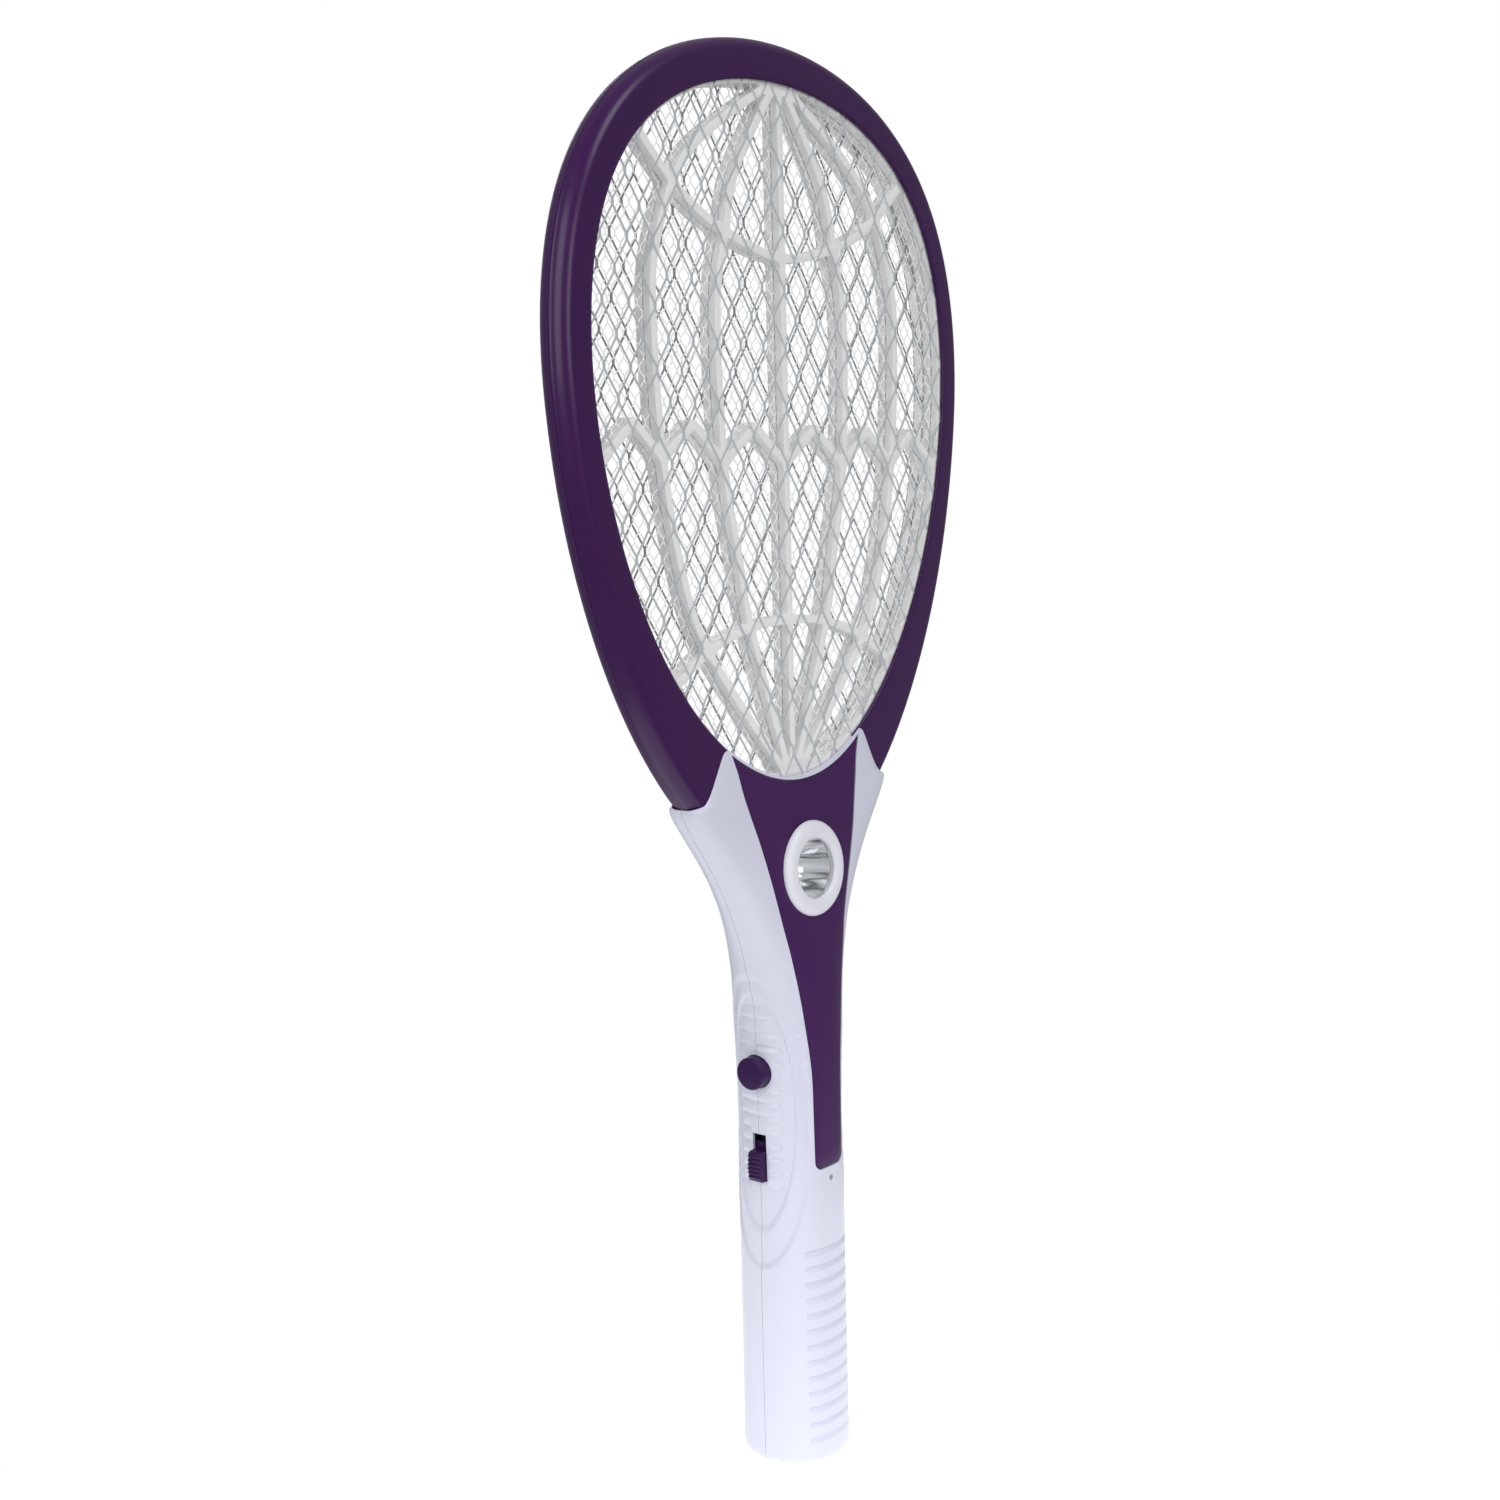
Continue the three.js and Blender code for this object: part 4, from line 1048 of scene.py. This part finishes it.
def panel_cutter():
    """The recess that the panel lies in."""
    loop = panel_loop(GAP)
    middle = np.array((0, TORCH_Z))
    rows = []
    for share in (0.02, 0.25, 0.5, 0.75, 1.0):
        flat = middle + (loop - middle) * share
        sunk = front_depth(flat[:, 0], flat[:, 1], PANEL_THICKNESS + GAP)
        rows.append(np.column_stack([flat[:, 0], sunk, flat[:, 1]]))
    rows += [np.column_stack([row[:, 0], np.full(len(row), -30.0), row[:, 2]]) for row in rows[::-1]]
    return loft(rows)


def bosses(y_low, y_high, radius):
    """A round rod at each screw."""
    return [rod("y", radius, y_low, y_high, place, 32) for place in SCREWS]


def make_handle():
    """The two shells: the whole form, hollowed, with screw posts, cut in two at the seam."""
    levels = handle_levels()
    coarse = np.array([HANDLE_WALL, *np.arange(6, 251, 6.0), *np.arange(251, 270.6, 2)])
    hollow = piece("hollow", *loft(handle_rows(coarse, HANDLE_WALL, False)), None)
    side_x, side_y, top_z = BEYOND
    hollow = carve(hollow, piece("keep", *prism(OPENING_WALL, -side_y, side_y), None))
    low, high = SLOT
    cuts = [
        prism(0, -side_y, side_y),
        prism(CHANNEL + GAP, -LIP_DEPTH - GAP, LIP_DEPTH + GAP),
        socket(-1),
        socket(1),
        rod("x", BUTTON_RADIUS + GAP, -30, -12, (0, BUTTON_Z), 64),
        box_body((-30, -SLOT_WIDTH / 2, low), (-12, SLOT_WIDTH / 2, high)),
        rod("z", PIN_RADIUS + GAP, -1, 5, (-PIN_X, 0)),
        rod("z", PIN_RADIUS + GAP, -1, 5, (PIN_X, 0)),
    ]
    front_cuts = [
        lathe([(0, -14), (BEZEL_NECK + GAP, -14), (BEZEL_NECK + GAP, 14), (0, 14)], 64, torch_place()),
        rod("y", INDICATOR_RADIUS, -30, -10, (0, INDICATOR_Z), 32),
        panel_cutter(),
        box_body((-side_x, -SEAM, -5), (side_x, side_y, top_z)),
    ]
    half, bottom, top = THUMB_WINDOW
    back_cuts = [
        box_body((-half, 8, bottom), (half, 30, top)),
        box_body((-side_x, -side_y, -5), (side_x, SEAM, top_z)),
    ]
    inside = handle_rows(coarse, HANDLE_WALL - 0.6, False)
    front_posts = bosses(-30, -SEAM, FRONT_BOSS)
    back_posts = bosses(SEAM, 30, BACK_BOSS)
    front_holes = bosses(-7, 1, PILOT_HOLE)
    back_holes = bosses(-1, 30, SHANK_HOLE) + bosses(4, 30, HEAD_HOLE)
    for name, posts, own_cuts, holes in (
        ("handle_front_shell", front_posts, front_cuts, front_holes),
        ("handle_back_shell", back_posts, back_cuts, back_holes),
    ):
        room = cutter(cuts)
        room = carve(room, copy_of(hollow), "UNION")
        shell = piece(name + "_moulding", *loft(handle_rows(levels)), None)
        shell = carve(shell, room)
        posts = carve(cutter(posts), piece("inside", *loft(inside), None), "INTERSECT")
        shell = carve(shell, posts, "UNION")
        for part in own_cuts:
            shell = carve(shell, piece("cutter", *part, None))
        shell = carve(shell, cutter(holes))
        mesh = shell.data
        bpy.data.objects.remove(shell)
        place_piece(name + "_moulding", mesh, "handle_white", "racket", [name], 28)
    bpy.data.objects.remove(hollow)


def copy_of(obj):
    twin = obj.copy()
    twin.data = obj.data.copy()
    bpy.context.collection.objects.link(twin)
    return twin


def make_panel():
    """The purple panel: an annulus from the torch to its outline, lying on the handle's front."""
    loop = panel_loop(0)
    ahead = np.roll(loop, -1, axis=0) - np.roll(loop, 1, axis=0)
    normal = np.column_stack([ahead[:, 1], -ahead[:, 0]]) / np.linalg.norm(ahead, axis=1)[:, None]
    middle = np.array((0, TORCH_Z + 1))
    bearing = loop - middle
    hole = middle + bearing / np.linalg.norm(bearing, axis=1)[:, None] * (BEZEL_NECK + GAP + 0.3)

    def row(flat, sunk):
        return np.column_stack([flat[:, 0], front_depth(flat[:, 0], flat[:, 1]) + sunk, flat[:, 1]])

    edge = loop - normal * 0.55
    rows = [row(hole, PANEL_THICKNESS)]
    rows += [row(hole + (edge - hole) * share, 0) for share in np.linspace(0, 1, 22)]
    rows += [row(loop - normal * inset, sunk) for inset, sunk in PANEL_EDGE]
    rows += [row(hole + (edge - hole) * share, PANEL_THICKNESS) for share in np.linspace(0.9, 0.1, 9)]
    vertices, faces = loft(rows, caps=False)
    count = len(loop)
    last = (len(rows) - 1) * count
    faces += [[last + i, last + (i + 1) % count, (i + 1) % count, i] for i in range(count)]
    piece("front_panel_moulding", vertices, faces, "panel_purple", instead_of=["front_panel"], smooth=40)


# ---------------------------------------------------------------- torch


def make_torch():
    """Bezel, lens, reflector and LED, each turned from a (radius, height) profile."""
    place = torch_place()
    outer = arc((14.3, -0.3), (3.2, 2.5), 0, 90, 12)
    inner = arc((13.3, 0.7), (2.4, 1.5), 90, 172, 9)
    bezel = [(BEZEL_BORE, -4.5), (BEZEL_NECK, -4.5), (BEZEL_NECK, -0.4), (BEZEL_RADIUS, -0.4)]
    bezel += [*outer, *inner, (BEZEL_BORE, 0.5), (BEZEL_BORE, -4.5)]
    dome = piece("torch_bezel_dome", *lathe(bezel, 96, place), "handle_white", instead_of=["torch_bezel"])
    # The bezel takes the lighter copy of the handle white: painted light
    dome.data.materials[0] = MATERIALS["bezel_white_painted_light"]
    radius = BEZEL_BORE - GAP
    lens = [(0, -0.9), (radius - 0.7, -1.1), (radius, -1.3), (radius, -0.4)]
    lens += [(radius - 0.25, -0.15), (radius - 1.2, -0.05), (6, 0.2), (0, 0.35)]
    piece("torch_lens_window", *lathe(lens, 96, place), "clear", instead_of=["torch_lens"])
    floor = -4.8 - REFLECTOR_DEPTH
    brim = BEZEL_BORE - 0.15
    rim = BEZEL_NECK - 0.6
    rise = REFLECTOR_DEPTH + 3.2
    bowl = [(2.3 + (brim - 2.3) * t, floor + 1.2 + (rise - 1.2) * t**1.9) for t in np.linspace(0, 1, 9)]
    outside = [(brim + 0.1, floor + rise), (brim + 0.1, -4.8), (rim, -4.8), (rim, -5.8)]
    outside += [(8.6, floor + 3), (4, floor), (2.3, floor)]
    reflector = lathe([*bowl, *outside, bowl[0]], 48, place)
    piece("torch_reflector_bowl", *reflector, "chrome", instead_of=["torch_reflector"], smooth=40)
    foot = -5.8 - REFLECTOR_DEPTH
    led = [(0, foot), (2.3, foot), (2.3, foot + 0.8), (1.9, foot + 0.9), (1.9, foot + 3.6)]
    led += arc((0, foot + 3.6), (1.9, 1.8), 8, 90, 8)
    piece("torch_led_dome", *lathe(led, 40, place), "led_amber", instead_of=["torch_led"])


# ---------------------------------------------------------------- switches


def make_button():
    """The push button: a slightly dished face, and a flange that keeps it in the shell."""
    place = Matrix.Translation((0, 0, BUTTON_Z)) @ Matrix.Rotation(math.pi / 2, 4, "Y")
    face = [(5.25 * s, BUTTON_FACE + 0.28 * s**2) for s in np.linspace(0, 1, 7)]
    edge = arc((5.25, BUTTON_FACE + 1.0), (0.75, 0.72), 270, 360, 6)
    flange, start, end = BUTTON_FLANGE
    profile = [*face, *edge[1:], (BUTTON_RADIUS, start), (flange, start), (flange, end), (0, end)]
    piece("zap_button_cap", *lathe(profile, 72, place), "button_purple", "button", ["zap_button"])


def make_knob():
    """The slide knob: ridges across a rounded top, on a keeper plate with a stem."""
    high = KNOB_LOW + KNOB_LENGTH
    pitch = (KNOB_LENGTH - 2.2) / KNOB_RIDGES
    top = []
    for k in range(KNOB_RIDGES):
        z = KNOB_LOW + 1.1 + k * pitch
        arch = 0.55 * ((z + pitch / 2 - (KNOB_LOW + high) / 2) / (KNOB_LENGTH / 2)) ** 2
        for t in np.linspace(0, 1, 9):
            top.append((KNOB_FACE + arch + 0.45 * abs(math.cos(math.pi * t)) ** 3, z + pitch * t))
    loop = [
        (-15.3, KNOB_LOW),
        (KNOB_FACE + 1.8, KNOB_LOW),
        (KNOB_FACE + 1.05, KNOB_LOW + 0.35),
        *top,
        (KNOB_FACE + 1.05, high - 0.35),
        (KNOB_FACE + 1.8, high),
        (-15.3, high),
    ]
    half = SLOT_WIDTH / 2 - GAP
    parts = [
        outline_plate([loop], -half, half, 0.25),
        box_body((-16.3, -4, KNOB_LOW - 2.4), (-15.1, 4, high + 2.6)),
        box_body((-15.3, -1.5, 113), (-12.9, 1.5, 116)),
    ]
    piece("slide_knob_cap", *joined(parts), "button_purple", "switch", ["slide_knob"], smooth=40)


# ---------------------------------------------------------------- screws


def make_screws():
    """Pan-head screws with a cross recess, driven from the back."""
    for number, (x, z) in enumerate(SCREWS, 1):
        place = Matrix.Translation((x, 0, z)) @ Matrix.Rotation(-math.pi / 2, 4, "X")
        head = arc((0, 4.6), (2.6, 1.45), 10, 90, 9)
        thread = []
        for k in range(13):
            y = -5.2 + 0.7 * k
            thread += [(1.0, y), (1.25, y + 0.35)]
        body = [(0, -6.4), (0.3, -6.3), *thread, (1.0, 4.3), (2.6, 4.3), *head]
        screw = piece("screw_body", *lathe(body, 32, place), None)
        cross = [box_body((x - a, 5.1, z - b), (x + a, 7, z + b)) for a, b in ((1.5, 0.28), (0.28, 1.5))]
        screw = carve(screw, cutter(cross))
        mesh = screw.data
        bpy.data.objects.remove(screw)
        place_piece(f"case_screw_{number}_cross", mesh, "steel", "racket", [f"case_screw_{number}"], 30)


make_camera()
make_stage()
MATERIALS = make_materials()
make_ring()
make_grids()
make_meshes()
make_handle()
make_panel()
make_torch()
make_button()
make_knob()
make_screws()
